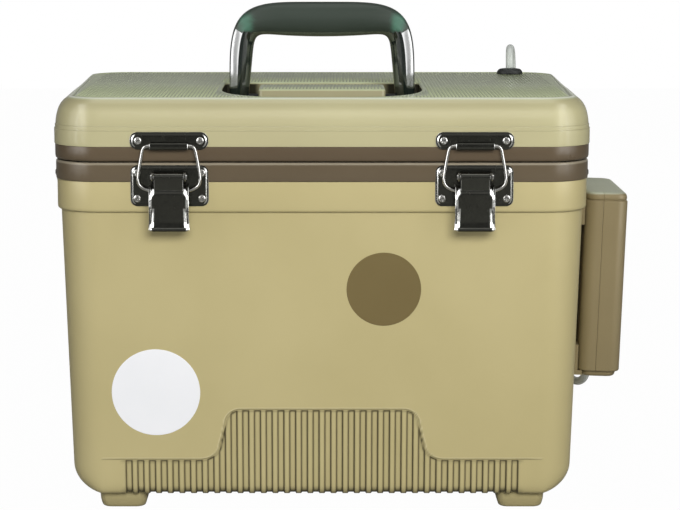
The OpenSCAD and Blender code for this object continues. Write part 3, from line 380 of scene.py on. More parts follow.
background = sky.node("Background", Color=(1, 1, 1, 1), Strength=level)
put(sky.tree, sky.tree.nodes.new("ShaderNodeOutputWorld").inputs[0], background)
bpy.context.scene.view_settings.view_transform = "Standard"


# %% Lamps
def lamp(name, place, aim, size, power, mirrored=True):
    """A soft lamp of this width and height turned towards a point, seen in reflections if asked."""
    light = bpy.data.lights.new(name, "AREA")
    light.shape = "RECTANGLE"
    light.size, light.size_y = size
    light.energy = power
    o = bpy.data.objects.new(name, light)
    o.location = place
    o.rotation_euler = (Vector(aim) - Vector(place)).to_track_quat("-Z", "Y").to_euler()
    o.visible_glossy = mirrored
    bpy.context.collection.objects.link(o)


lamp("key", (0.28, -1.7, 0.95), (0, 0, 0.22), (1.2, 0.6), 29, False)
lamp("strip_left", (-1.25, -0.8, 0.5), (0, -0.1, 0.2), (0.12, 0.9), 2)
lamp("strip_right", (1.25, -0.8, 0.5), (0, -0.1, 0.2), (0.12, 0.9), 2)
lamp("back_fill", (0.4, 1.9, 0.9), (0, 0, 0.15), (1.2, 0.8), 9, False)

# %% [markdown]
# ## Finishes
# Most pieces are moulded plastic: a plain colour with faint clouding and the
# fine pebble of the mould. Metal is pressed sheet or polished steel.


# %% Moulded plastic and metal
def plastic(name, colour, shade, roughness, pebble=0.00002, grain=900, shading_tone=None, lights=None, top_reflection=None,
        ior=1.45):
    """Plastic whose colour drifts towards a shade at random, with a pebbled surface. Numbers stored in the
    mesh mix in painted shade, painted sheen and painted highlights; faces above a height take a painted
    reflection colour."""
    f = Finish(name)
    base = f.mix(f.spread(f.noise(9.0, 4.0), 0.35, 0.65), linear(*colour), linear(*shade))
    # painted reflection: faces above a height take a colour standing in for the light above
    if top_reflection:
        tone, height = top_reflection
        z = f.node("SeparateXYZ", 2, Vector=f.place())
        base = f.mix(f.spread(z, height - 0.0012, height), base, linear(*tone))
    # painted shading and painted highlights, read from numbers stored in the mesh
    for layer, tone in (("painted_shading", shading_tone), ("painted_highlight", lights)):
        if tone:
            base = f.mix(f.node("Attribute", 2, {"attribute_name": layer}), base, linear(*tone))
    rough = f.noise(40.0, 3.0) * 0.12 + (roughness - 0.06)
    return f.set(Base_Color=base, Roughness=rough, Normal=f.bump(f.noise(grain, 2.0), pebble), IOR=ior)


def metal(name, colour, roughness, direction=(1, 1, 1), brush=0.00001):
    """Metal with fine brush lines along the axis whose stretch is small."""
    f = Finish(name)
    lines = f.noise(500.0, 3.0, f.node("Mapping", Vector=f.place(), Scale=direction))
    tint = f.mix(f.noise(30.0, 3.0), linear(*colour), linear(*[c * 0.85 for c in colour]))
    return f.set(Base_Color=tint, Metallic=1.0, Roughness=lines * 0.15 + (roughness - 0.07),
        Normal=f.bump(lines, brush))


# the tub's shading tone paints shadow in the flutes and on the feet; its highlight tone paints a highlight
# along the field's top edge
TAN = plastic("tan_plastic", (186, 174, 128), (180, 168, 122), 0.34, shading_tone=(24, 17, 5),
    lights=(236, 226, 190))
# the lid's shading tone paints shade, its highlight tone paints highlights, and its top colour is a painted
# reflection of the light above
TAN_LID = plastic("tan_lid_plastic", (184, 178, 139), (179, 172, 134), 0.22, 0.000008, shading_tone=(10, 9, 7),
    lights=(250, 250, 236), top_reflection=((178, 186, 150), 0.2786))
BROWN = plastic("brown_band_plastic", (92, 79, 61), (88, 75, 58), 0.3, 0.000005)
# the handle's shading tone is a lighter teal: a painted highlight
HANDLE = plastic("handle_grip_plastic", (48, 56, 49), (43, 51, 44), 0.5, shading_tone=(78, 124, 104))
HANDLE_LEG = plastic("handle_leg_plastic", (24, 33, 29), (20, 28, 25), 0.1, 0.000004, ior=2.3)
# painted reflection: the pump's top faces take a cooler, lighter colour for the light above
PUMP = plastic("pump_plastic", (134, 121, 89), (128, 115, 84), 0.4, top_reflection=((176, 180, 158), 0.2073))
KNOB = plastic("knob_plastic", (196, 196, 180), (188, 188, 172), 0.35)
BLACK = plastic("black_plastic", (28, 28, 28), (22, 22, 22), 0.4)
RUBBER = plastic("black_rubber", (30, 31, 30), (24, 25, 24), 0.6)
# the liner's highlight tone paints the highlight on the rim's top edge
LINER = plastic("liner_plastic", (97, 85, 67), (93, 81, 63), 0.3, 0.000005, lights=(190, 182, 160))
WHITE = plastic("white_plastic", (225, 226, 222), (215, 216, 212), 0.35)
FOAM = plastic("foam_board", (226, 215, 176), (214, 201, 160), 0.85, 0.0002, 400)
CELL = plastic("battery_jacket", (196, 160, 74), (186, 150, 66), 0.3)
STEEL = metal("stainless_sheet", (88, 88, 82), 0.24, (1, 1, 0.3), 0.00012)
# a much brighter copy of the steel, put on slanted faces as painted highlight
HIGHLIGHT_STEEL = metal("highlight_steel", (225, 225, 222), 0.14)
WIRE = metal("stainless_wire", (205, 204, 200), 0.16)


# %% Stone and hose
def stone_finish():
    """Porous mineral: strong grain in colour and height."""
    f = Finish("air_stone_mineral")
    grain = f.noise(700.0, 4.0)
    tint = f.mix(f.spread(grain, 0.35, 0.65), linear(92, 108, 130), linear(140, 152, 168))
    return f.set(Base_Color=tint, Roughness=0.95, Normal=f.bump(grain, 0.0004))


def vinyl_finish():
    """Clear soft vinyl seen as milky: mostly pale, a little see-through, with a wet gloss."""
    f = Finish("hose_vinyl")
    cloud = f.noise(60.0, 3.0)
    tint = f.mix(cloud, linear(222, 226, 220), linear(206, 212, 206))
    return f.set(Base_Color=tint, Roughness=cloud * 0.1 + 0.18, Alpha=cloud * 0.1 + 0.72)


STONE = stone_finish()
VINYL = vinyl_finish()


# %% Dressing a piece
def mask(piece, name, values):
    """Stores a number for each corner point of a piece, which its finish reads by name."""
    layer = piece.data.attributes.new(name, "FLOAT", "POINT")
    layer.data.foreach_set("value", np.asarray(values, np.float32).ravel())
    return piece


def dress(piece, *materials):
    """Puts these materials on a piece in place of what it had."""
    piece.data.materials.clear()
    for m in materials:
        piece.data.materials.append(m)


def settle(piece, angle, materials, body, node):
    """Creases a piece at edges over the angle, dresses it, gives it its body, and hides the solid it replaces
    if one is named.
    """
    piece.data.set_sharp_from_angle(angle=math.radians(angle))
    dress(piece, *materials)
    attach(piece, body)
    if node:
        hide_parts(node)


FINISHES = {
    TAN: ["body_shell", "lid_shell"],
    BROWN: ["lid_liner"],
    LINER: ["body_liner"],
    FOAM: ["body_foam", "lid_foam"],
    RUBBER: ["lid_gasket", "hose_grommet", "pump_diaphragm"],
    HANDLE: ["handle"],
    KNOB: ["strap_knob_left", "strap_knob_right"],
    PUMP: ["pump_bracket", "pump_case_inner", "pump_case_outer", "pump_base_cap", "pump_air_nipple"],
    BLACK: ["handle_rod", "pump_switch_body", "pump_switch_slider", "pump_head"],
    CELL: ["pump_batteries"],
    VINYL: ["pump_inner_tube"],
    STONE: ["air_stone"],
    WHITE: ["air_stone_fitting"],
}
finish_of = {n: material for material, names in FINISHES.items() for n in names}
for n, solid in NODES.items():
    dress(solid, finish_of.get(n, WIRE if "bail" in n or "pin" in n else STEEL))
dress(hose_outer, VINYL)
dress(hose_inner, VINYL)

# %% [markdown]
# ## The outline that the mouldings share
# Tub, bands and lid all follow one rounded rectangle. A point on it is a base
# point on an inner rectangle plus a step outwards, so one set of columns serves
# every height and the skins line up with each other.

# %% Shared outline
HALF_W, HALF_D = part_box("lid_shell")[1][:2]
CORNER_R = 31 * MM
BASE_X, BASE_Y = HALF_W - CORNER_R, HALF_D - CORNER_R


def outline(front_x, side_y, corner_steps=16):
    """Base points and outward steps round the outline, anticlockwise from the right side."""
    right = np.array([(BASE_X, y) for y in np.sort(side_y)])
    back = np.array([(x, BASE_Y) for x in np.sort(front_x)[::-1]])
    sides = [right, back, (right * [-1, 1])[::-1], (back * [1, -1])[::-1]]
    steps = [(1, 0), (0, 1), (-1, 0), (0, -1)]
    base, out = [], []
    for i, (side, step, corner) in enumerate(zip(sides, steps, CORNERS)):
        a = quarter_turn(corner_steps + 1)[1:-1] + i * np.pi / 2
        base += [side, np.broadcast_to(np.array(corner) * [BASE_X, BASE_Y], (len(a), 2))]
        out += [np.broadcast_to(step, (len(side), 2)), np.column_stack([np.cos(a), np.sin(a)])]
    return np.vstack(base), np.vstack(out)


def profile_rings(profile, base, out):
    """Rings at rows of (height, inset at the sides, inset at the front and back)."""
    z, ix, iy = np.asarray(profile, float).T
    xy = base[None] + out[None] * (CORNER_R - np.stack([ix, iy], -1)[:, None, :])
    return np.concatenate([xy, np.broadcast_to(z[:, None, None], (*xy.shape[:2], 1))], -1)


def even(*rows):
    """Profile rows of (height, inset) in millimetres, with one inset all round."""
    return [(z * MM, i * MM, i * MM) for z, i in rows]


PLAIN_X = np.linspace(-BASE_X, BASE_X, 41)
PLAIN_Y = np.linspace(-BASE_Y, BASE_Y, 25)
plain_base, plain_out = outline(PLAIN_X, PLAIN_Y)
print("outline with", len(plain_base), "points, corner radius", CORNER_R)

# %% [markdown]
# ## The tub
# One moulding: drafted walls under a proud collar, a big radius along the bottom
# of the sides, and a field of flutes on the long walls whose top edge climbs in
# an S towards the middle. Each point of the grid is pushed in by a depth worked
# out from its distance to the field's edge and to the nearest groove. The same
# distances give the soft shadow in the grooves, painted into their colour.

# %% Flutes
DRAFT_ANGLE = math.radians(1.7)
DRAFT = math.tan(DRAFT_ANGLE)
COLLAR_Z, FOOT_H, TUB_IN = 204.3 * MM, 11 * MM, 3.9 * MM
PITCH, GROOVE, GROOVE_DEEP, STEP = 7.86 * MM, 3.93 * MM, 1.1 * MM, 0.6 * MM
EACH_SIDE = 17
FLUTES_END = EACH_SIDE * PITCH
FADE_FROM, FADE_OVER = 138 * MM, 9 * MM
FIELD_LOW, FIELD_HIGH, SHOULDER = 36.2 * MM, 70.8 * MM, 10 * MM
HIGH_X, HIGH_ARC, LOW_X, LOW_ARC = 54.5 * MM, 10.8 * MM, 82 * MM, 13 * MM
FLUTED_BELOW = 100 * MM
a = quarter_turn(13)
edge_line = np.vstack([[0, FIELD_HIGH],
    np.column_stack([HIGH_X + HIGH_ARC * np.sin(a), FIELD_HIGH - SHOULDER * (1 - np.cos(a))]),
    np.column_stack([LOW_X - LOW_ARC * np.cos(a), FIELD_LOW + SHOULDER * (1 - np.sin(a))]), [0.2, FIELD_LOW]])


def below_edge(x, z):
    """Distance under the field's top edge, negative above it: the least distance to its straight pieces."""
    p = np.stack([np.abs(x), z], -1)[..., None, :]
    a, b = edge_line[:-1], edge_line[1:]
    t = np.clip(((p - a) * (b - a)).sum(-1) / ((b - a) ** 2).sum(-1), 0, 1)
    gap = np.linalg.norm(p - (a + t[..., None] * (b - a)), axis=-1).min(-1)
    return np.where(z < np.interp(np.abs(x), edge_line[:, 0], edge_line[:, 1]), gap, -gap)


def off_middle(x):
    """Signed distance from the middle of the nearest groove, in metres."""
    return (((x / PITCH) % 1) - 0.5) * PITCH


def flute_depth(x, z):
    """Depth of the field's step plus that of the nearest groove, each eased in over half a millimetre."""
    under = below_edge(x, z)
    fade = 1 - smoothstep((np.abs(x) - FADE_FROM) / FADE_OVER)
    step = STEP * smoothstep(under / (0.9 * MM) + 0.3) * fade
    groove = smoothstep((GROOVE / 2 + 0.3 * MM - np.abs(off_middle(x))) / (0.6 * MM))
    groove = groove * smoothstep((under - 0.9 * MM) / (0.7 * MM))
    return step + GROOVE_DEEP * groove * (np.abs(x) < FLUTES_END)


def flute_shadow(x, z):
    """How much painted shadow a point gets: the walls of a groove, its top under the step, its lower end, the
    step's line.
    """
    under, side = below_edge(x, z) / MM, off_middle(x) / MM
    floor = np.abs(side) < 1.9
    wall = bell((np.abs(side) - 1.95) / 0.55) * np.where(side > 0, 1.0, 0.82)
    head = bell((under - 1.5) / 0.7) * np.where(floor, 0.9, 0.35)
    end = smoothstep((FOOT_H / MM + 6.5 - z / MM) / 6) * np.where(floor, 0.85, 0.3) * (under > 0)
    grooves = (np.maximum(wall, head) * smoothstep((under - 0.6) / 0.8) + end) * (np.abs(x) < FLUTES_END)
    return np.clip(grooves + 0.3 * bell((under - 0.2) / 0.5), 0, 0.9)


across = np.array([0, 1.1, 1.65, 1.95, 2.25, 3.0]) * MM
across = np.concatenate([-across[:0:-1], across, [PITCH / 2]])
flute_x = (((np.arange(-EACH_SIDE, EACH_SIDE) + 0.5) * PITCH)[:, None] + across).ravel()
beyond = np.linspace(FLUTES_END, BASE_X, 6)
flute_x = np.unique(np.round(np.concatenate([flute_x, beyond, -beyond]), 6))
tub_base, tub_out = outline(flute_x, PLAIN_Y, 18)

# %% Tub
EDGE_SIDE, EDGE_FRONT = 18 * MM, 5 * MM
wall_in = lambda z: TUB_IN + (COLLAR_Z - z) * DRAFT
a = quarter_turn(14)
z_edge = FOOT_H + EDGE_SIDE * (1 - np.cos(a))
bottom = np.column_stack([z_edge, wall_in(z_edge) + EDGE_SIDE * (1 - np.sin(a)),
    wall_in(z_edge) + EDGE_FRONT * (1 - np.sin(a)) ** 2])
levels = np.concatenate([[29.5, 32, 34], np.arange(34.8, 38, 0.4), np.arange(38.5, 69, 1.05),
    np.arange(69, 72.4, 0.4), [74, 90, 130, 170, 203.9]]) * MM
wall = np.column_stack([levels, wall_in(levels), wall_in(levels)])
collar = even((204.3, 3.9), (204.25, 3.2), (204.35, 2.5), (204.8, 1.95), (205.6, 1.6), (206.8, 1.5),
    (214, 1.5), (223.9, 1.5), (224.3, 1.6), (224.5, 1.9), (224.5, 6))
tub_rings = profile_rings(np.vstack([bottom, wall, collar]), tub_base, tub_out)
flat_wall = np.abs(tub_out[:, 1]) > 0.999
wall_x, wall_z = tub_rings[:, flat_wall, 0], tub_rings[:, flat_wall, 2]
fluted = wall_z < FLUTED_BELOW
depth = flute_depth(wall_x, wall_z) * fluted
tub_rings[:, flat_wall, 1] -= depth * np.sign(tub_out[flat_wall, 1])
shadow, lit = np.zeros((2, *tub_rings.shape[:2]))
# painted shadow: groove walls, groove tops under the step, groove ends and the step's line
shadow[:, flat_wall] = flute_shadow(wall_x, wall_z) * fluted
near_foot = np.clip(1 - (wall_z - FOOT_H) / (4 * MM), 0, 1)
wall_z += 0.7 * MM * np.clip(depth - STEP, 0, 1) / GROOVE_DEEP * near_foot
tub_rings[:, flat_wall, 2] = wall_z
# painted highlight: a thin lighter line just above the field's top edge
lit[:, flat_wall] = 0.3 * bell((below_edge(wall_x, wall_z) / MM + 0.6) / 0.3) * fluted
tub = mask(mask(loft("tub", tub_rings, True, False), "painted_shading", shadow), "painted_highlight", lit)

# %% Feet
FOOT_X, FOOT_Y, FOOT_HALF_X, FOOT_HALF_Y, FOOT_R = 134.6 * MM, 87.86 * MM, 16.3 * MM, 20 * MM, 6 * MM


def foot(sx, sy):
    """A tapered pad with rounded corners: rings of a rounded square that shrink towards the floor."""
    rows = [(0, 3.2), (0.2, 2.4), (0.8, 1.8), (2, 1.3), (5, 0.6), (12, 0)]
    rings = [at_height(rounded_box(sx * FOOT_X, sy * FOOT_Y, FOOT_HALF_X - i * MM, FOOT_HALF_Y - i * MM,
        FOOT_R, 48), z * MM) for z, i in rows]
    return loft("foot", rings, True, False)


tub = join("tub", [tub] + [foot(sx, sy) for sx in (-1, 1) for sy in (-1, 1)])
painted_shading = tub.data.attributes["painted_shading"].data
shade = np.zeros(len(tub.data.vertices), np.float32)
painted_shading.foreach_get("value", shade)
# painted shade: the feet, under the tub, are painted darker
on_foot = corner_points(tub)[:, 2] < FOOT_H - 0.2 * MM
painted_shading.foreach_set("value", np.maximum(shade, 0.24 * on_foot).astype(np.float32))
settle(tub, 40, [TAN], "body", "body_shell")
print("tub", len(tub.data.polygons), "faces")

# %% [markdown]
# ## The dark bands
# The rim on the tub and the pan of the lid are separate brown mouldings. The rim
# runs over the top edge and down into the bucket as its liner; the pan carries
# the gasket's groove and the plug.

# %% Liner with its rim
LINER_IN, RIM_TOP, LINER_FLOOR, FLOOR_SIDE, FLOOR_FRONT = 16, 236.9, 28.4, 12, 8
inner_in = lambda z: LINER_IN + (RIM_TOP - z) * DRAFT
low_in = inner_in(LINER_FLOOR + 11.6)
liner_rows = even((224.5, 4), (224.5, 1.3), (224.7, 0.9), (225.1, 0.8), (230.5, 0.8), (235.2, 0.8),
    (236.2, 0.9), (236.8, 1.3), (237.05, 2.0), (237.05, 3.2), (236.9, 4.2), (236.9, 15),
    (236.7, 15.6), (236.1, 15.95), *((z, inner_in(z)) for z in np.linspace(234, 42, 10)))
for a in quarter_turn(9)[::-1]:
    gap = 1 - math.sin(a)
    liner_rows.append(((LINER_FLOOR + FLOOR_SIDE * (1 - math.cos(a))) * MM, (low_in + FLOOR_SIDE * gap) * MM,
        (low_in + FLOOR_FRONT * gap) * MM))
liner = loft("liner_and_rim", profile_rings(liner_rows, plain_base, plain_out), False, True)
x, y, z = corner_points(liner).T / MM
# painted highlight along the rim's top edge
rim_edge = smoothstep((z - 235.4) / 0.8) * ((np.abs(x) > 150) | (np.abs(y) > 108))
mask(liner, "painted_highlight", 0.35 * rim_edge)
settle(liner, 50, [LINER], "body", "body_liner")

# %% Lid pan
pan_rows = even((247.6, 3), (247.6, 0.8), (247.45, 0.5), (247.1, 0.4), (242.4, 0.4), (239.6, 0.45),
    (238.6, 0.7), (238.05, 1.2), (237.85, 2.0), (237.85, 4.6), (238.3, 6.5), (239.75, 6.5), (239.75, 12.5),
    (238.3, 12.5), (238.3, 18.4), (229, 18.4), (227.2, 18.8), (226.3, 19.9), (226, 21.4), (226, 23))
pan_rings = profile_rings(pan_rows, plain_base, plain_out)
inward = [pan_rings[-1] * [t, t, 1] for t in np.linspace(0.97, 0.03, 16)]
pan = loft("lid_pan", np.concatenate([pan_rings, inward]), False, True)
settle(pan, 40, [BROWN], "lid", "lid_liner")

# %% [markdown]
# ## The lid's top moulding
# A skin goes up the side over two fine steps, curves in over the shoulder, runs
# across the top to the recess, down its wall and over its floor. The rows change
# from the outline's shape to the recess's shape: both are seen from one centre,
# so every column keeps its angle. A block for the handle stands on the floor.

# %% Lid skin
CENTRE = np.array([0.0, -35.0]) * MM
RECESS_W, RECESS_FRONT, RECESS_BACK, RECESS_R, FLOOR_Z = 69.0, 112.0, 18.0, 5.0, 260.5
FRONT_ARC_Y = -20
ISLAND_W, ISLAND_D, ISLAND_Y, ISLAND_R = 43.8, 44.0, -23.0, 3.0
lid_base, lid_out = outline(np.linspace(-BASE_X, BASE_X, 161), np.linspace(-BASE_Y, BASE_Y, 61), 14)
side = curve_through([(247.6, 3), (247.6, 0.45), (247.75, 0.15), (248.2, 0), (252, 0), (257.4, 0),
    (257.95, 0.08), (258.15, 0.42), (258.6, 0.5), (260.2, 0.5), (260.6, 0.58), (260.8, 0.92), (262, 0.95),
    (265, 1.25), (268, 1.75), (271, 2.5), (273.5, 3.5), (275.6, 4.7), (277.3, 6.2), (278.5, 7.8),
    (278.95, 9.2), (278.9, 9.7), (278.55, 10.0), (278.5, 10.6), (278.75, 11.0), (279, 11.5), (279, 12.3),
    (278.85, 12.7), (278.7, 13.2)], 2)
lid_side = profile_rings(even(*side), lid_base, lid_out)
curve_in = np.clip(side[:, 1] - 0.95, 0, None)[:, None, None] * MM
behind = smoothstep((lid_base[:, 1] + 0.03) / 0.15)[None, :, None]
flank = (smoothstep((-lid_base[:, 1] - 0.02) / 0.08) * np.abs(lid_out[:, 0]))[None, :, None]
lid_side[..., :2] += lid_out[None] * curve_in * (0.5 * behind - 0.3 * flank)


def recess_edge(g):
    """Recess outline grown by g: straight sides, round back corners, a superellipse of power 3 in front."""
    w, back, r = RECESS_W + g, RECESS_BACK + g, RECESS_R
    a = np.linspace(0, np.pi, 181)
    front = np.column_stack([-w * np.sign(np.cos(a)) * np.abs(np.cos(a)) ** (2 / 3),
        FRONT_ARC_Y - (RECESS_FRONT + FRONT_ARC_Y + g) * np.abs(np.sin(a)) ** (2 / 3)])
    c, s = r * np.cos(quarter_turn(13)), r * np.sin(quarter_turn(13))
    right_side = np.array([(w, y) for y in np.linspace(FRONT_ARC_Y + 2, back - r - 1, 12)])
    back_line = np.array([(x, back) for x in np.linspace(w - r - 1.5, r + 1.5 - w, 60)])
    right = np.column_stack([w - r + c, back - r + s])
    left = np.column_stack([r - w - s, back - r + c])
    return np.vstack([front, right_side, right, back_line, left, (right_side * [-1, 1])[::-1]]) * MM


def island_edge(g):
    """Rounded rectangle of the block between the handle's legs, grown by g."""
    return rounded_box(0, ISLAND_Y, ISLAND_W + g, ISLAND_D / 2 + g, ISLAND_R, 96) * MM


def seen_from_centre(edge, angles):
    """Points of a closed edge at these angles about the centre, by its distance as a function of angle."""
    d = edge - CENTRE
    a = np.arctan2(d[:, 1], d[:, 0])
    order = np.argsort(a)
    far = np.interp(angles, a[order], np.linalg.norm(d, axis=1)[order], period=2 * np.pi)
    return CENTRE + far[:, None] * np.column_stack([np.cos(angles), np.sin(angles)])


top_outer = lid_side[-1][:, :2]
angles = np.arctan2(*(top_outer - CENTRE).T[::-1])
to_recess = seen_from_centre(recess_edge(2.2), angles) - top_outer
rows = [at_height(top_outer + to_recess * t, 278.7 * MM) for t in (0.25, 0.5, 0.75, 1.0)]
recess_rows = [(1.8, 278.8), (1.3, 279), (0.7, 278.9), (0.25, 278.5), (0, 277.7), (0, 277.4), (0, 262.2),
    (-0.3, 261.2), (-1.0, 260.6), (-1.8, FLOOR_Z)]
rows += [at_height(seen_from_centre(recess_edge(g), angles), z * MM) for g, z in recess_rows]
floor_edge = rows[-1][:, :2] - CENTRE
rows += [at_height(CENTRE + floor_edge * t, FLOOR_Z * MM) for t in (0.66, 0.33, 0.04)]
lid_skin = loft("lid_skin", np.concatenate([lid_side, np.array(rows)]), False, True)
block_rows = [(1.8, FLOOR_Z - 0.4), (1.6, FLOOR_Z), (0.8, 260.75), (0.25, 261.4), (0, 262.4), (0, 277.5),
    (-0.15, 278.0), (-0.5, 278.5), (-1.1, 278.85), (-1.7, 278.9), (-2.3, 278.7), (-3.5, 278.7)]
block = loft("handle_block", [at_height(island_edge(g), z * MM) for g, z in block_rows])
lid_skin = join("lid_skin", [lid_skin, block])

# %% Painted shade and highlights of the lid
x, y, z = corner_points(lid_skin).T / MM
x = np.abs(x)
# painted shadow in the recess, darkest beside the handle's legs; painted dark lines at the fine steps and the
# crown's groove; painted shade on the shoulder
in_recess = (x < RECESS_W + 0.4) * (y > -RECESS_FRONT - 0.4) * (y < RECESS_BACK + 0.4)
well = (0.35 + 0.65 * smoothstep((x - 42.5) / 6)) * in_recess * smoothstep((277.9 - z) / 0.5)
outside = (np.abs(y) > RECESS_FRONT + 0.5) | (x > RECESS_W + 1)
lines = 0.22 * (bell((z - 258.1) / 0.25) + bell((z - 260.7) / 0.25))
reach = np.full(len(z), 99.0)
reach[: lid_side[..., 0].size] = np.repeat(side[:, 1], lid_side.shape[1])
groove = 0.4 * bell((reach - 10.3) / 0.45)
shoulder = 0.13 * smoothstep((z - 269) / 6) * smoothstep((278.3 - z) / 0.8)
mask(lid_skin, "painted_shading", np.maximum(0.95 * well, outside * np.maximum.reduce([lines, groove, shoulder])))
# painted highlights on the crown's bead and on the crest past the groove
mask(lid_skin, "painted_highlight", outside * (0.9 * bell((reach - 8.6) / 0.8) + 0.25 * bell((reach - 11.6) / 0.5)))
settle(lid_skin, 60, [TAN_LID], "lid", "lid_shell")
print("lid skin", len(lid_skin.data.polygons), "faces")

# %% Fine ribs on the top
RIB_PITCH, RIB_H, RIB_HALF, RIB_END, RIB_Z = 2.35, 0.42, 0.82, 0.4, 278.72
FIELD_IN, RIB_GAP, LEAST_RIB = 14.6, 3.2, 1.5
GROMMET_X, GROMMET_Y, GROMMET_CLEAR = 142, 104, 11.2


def rib_strips():
    """Strips (x, y start, y end) of the top, stopped at its corners, recess, block and grommet."""
    strips = []
    w, d, r = HALF_W / MM - FIELD_IN, HALF_D / MM - FIELD_IN, CORNER_R / MM - FIELD_IN
    count = int(w / RIB_PITCH)
    edge = recess_edge(RIB_GAP) / MM
    for x in np.arange(-count, count + 1) * RIB_PITCH:
        over = max(abs(x) - (w - r), 0)
        y = d - r + math.sqrt(max(r * r - over * over, 0))
        cuts = []
        if abs(x) < RECESS_W + 3:
            near = np.argmin(np.abs(edge[:, 0] - x) + 1e3 * (edge[:, 1] > FRONT_ARC_Y))
            cuts.append((edge[near, 1], RECESS_BACK + RIB_GAP))
        over_grommet = GROMMET_CLEAR**2 - (x - GROMMET_X) ** 2
        if over_grommet > 0:
            half = math.sqrt(over_grommet)
            cuts.append((GROMMET_Y - half, GROMMET_Y + half))
        start = -y
        for lo, hi in cuts + [(y, y)]:
            if lo - start > LEAST_RIB:
                strips.append((x, start, lo))
            start = hi
        if abs(x) < ISLAND_W - 3.5:
            half = ISLAND_D / 2 - RIB_GAP
            strips.append((x, ISLAND_Y - half, ISLAND_Y + half))
    return np.array(strips)


def ribs(strips):
    """Each strip is a low arch of five points, carried from end to end and closed down to the surface."""
    arch_x = np.array([-1, -0.62, 0, 0.62, 1]) * RIB_HALF
    arch_z = np.array([-0.25, 0.75, 1, 0.75, -0.25]) * RIB_H
    up = np.array([0, 1, 1, 0])[None, :, None]
    x, start, end = strips.T
    y = np.stack([start, start + RIB_END, end - RIB_END, end], 1)[:, :, None]
    z = RIB_Z + arch_z * up - 0.2 * (1 - up)
    points = np.stack(np.broadcast_arrays(x[:, None, None] + arch_x, y, z), -1) * MM
    one = np.array(grid_faces(4, 5, False))
    faces = (one[None] + (np.arange(len(strips)) * 20)[:, None, None]).reshape(-1, 4)
    return mesh_piece("lid_top_ribs", points, [tuple(f) for f in faces.tolist()])


top_ribs = ribs(rib_strips())
dress(top_ribs, TAN_LID)
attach(top_ribs, "lid")
print("ribs", len(top_ribs.data.polygons) // 12)

# %% [markdown]
# ## The handle
# A moulded arch, broad on top and slimmer down its legs. Each leg shows a wide
# flat outer face, a crease and a thin bead near the inner edge, so the cross
# section is drawn for the leg and for the grip and blended along the arch.

# %% Handle
PIVOT_Y, PIVOT_Z = -23 * MM, 271 * MM
HANDLE_W, HANDLE_H, LEG_W, GRIP_H = 64.5 * MM, 66.8 * MM, 13.4 * MM, 21.6 * MM
LEG_DEEP, LEG_TOP = 8 * MM, 317.2 * MM
BELLY, BELLY_HALF = 2.4 * MM, 46 * MM


def arch(a, b, n, lean, t):
    """Superellipse r = (|cos t / a|^n + |sin t / b|^n)^(-1/n), whose sides lean in as they rise."""
    r = (np.abs(np.cos(t) / a) ** n + np.abs(np.sin(t) / b) ** n) ** (-1 / n)
    return np.stack([r * np.cos(t) * (1 - lean * r * np.sin(t) / b), r * np.sin(t)], -1)


t = np.linspace(0, np.pi, 145)
outer = arch(HANDLE_W, HANDLE_H, 4.6, 0.0, t)
inner = arch(HANDLE_W - LEG_W, HANDLE_H - GRIP_H, 14, 0.085, t)
inner[:, 1] -= BELLY * np.clip(1 - (inner[:, 0] / BELLY_HALF) ** 2, 0, 1) * (inner[:, 1] > 30 * MM)
top_share = smoothstep((np.sin(t) - 0.62) / 0.2)
half_deep = LEG_DEEP + 2 * MM * np.sin(t) ** 2
leg = np.array([(0, 0), (0.012, 0.22), (0.03, 0.38), (0.12, 0.565), (0.225, 0.765), (0.25, 0.80),
    (0.275, 0.823), (0.39, 0.92), (0.415, 0.936), (0.45, 0.942), (0.56, 0.955), (0.60, 0.938),
    (0.64, 0.907), (0.92, 0.69), (0.945, 0.66), (0.965, 0.56), (0.985, 0.36), (1, 0)])
grip = np.array([(0, 0), (0.012, 0.30), (0.04, 0.50), (0.08, 0.64), (0.13, 0.74), (0.18, 0.82),
    (0.23, 0.88), (0.28, 0.92), (0.33, 0.95), (0.38, 0.975), (0.44, 0.99), (0.50, 1.0), (0.56, 0.99),
    (0.68, 0.95), (0.80, 0.86), (0.90, 0.70), (0.965, 0.45), (1, 0)])
leg, grip = (np.vstack([s, s[-2:0:-1] * [1, -1]]) for s in (leg, grip))
section = leg[None] + (grip - leg)[None] * top_share[:, None, None]
across_arch = inner[:, None] + (outer - inner)[:, None] * section[:, :, :1]
handle = loft("carry_handle", np.stack([across_arch[..., 0], PIVOT_Y + section[..., 1] * half_deep[:, None],
    PIVOT_Z + across_arch[..., 1]], -1))


def leg_end(s):
    """Half-round end of a leg about the pivot: the leg's section turned down and shrunk like a round nose."""
    rows = []
    for a in np.radians(np.linspace(0, 88, 12)):
        round_in = 1.2 * MM * (1 - math.cos(a))
        x = HANDLE_W - LEG_W + round_in + (LEG_W - 2 * round_in) * leg[:, 0]
        y = PIVOT_Y + leg[:, 1] * LEG_DEEP * math.cos(a)
        rows.append(at_height(np.column_stack([s * x, y]), PIVOT_Z - LEG_DEEP * math.sin(a)))
    return loft("leg_end", rows)


handle = join("carry_handle", [handle, leg_end(1), leg_end(-1)])
x, y, z = corner_points(handle).T / MM
x = np.abs(x)
# painted highlight: a lighter teal patch on the front of each shoulder
patch = smoothstep((x - 46.5) / 4) * smoothstep((59 - x) / 4)
patch *= smoothstep((z - 317) / 2) * smoothstep((332 - z) / 6)
mask(handle, "painted_shading", 0.6 * patch * (y < PIVOT_Y / MM - 3))
settle(handle, 40, [HANDLE, HANDLE_LEG], "handle", "handle")
low_face = np.array([f.center.z < LEG_TOP for f in handle.data.polygons])
handle.data.polygons.foreach_set("material_index", low_face.astype(np.int32))

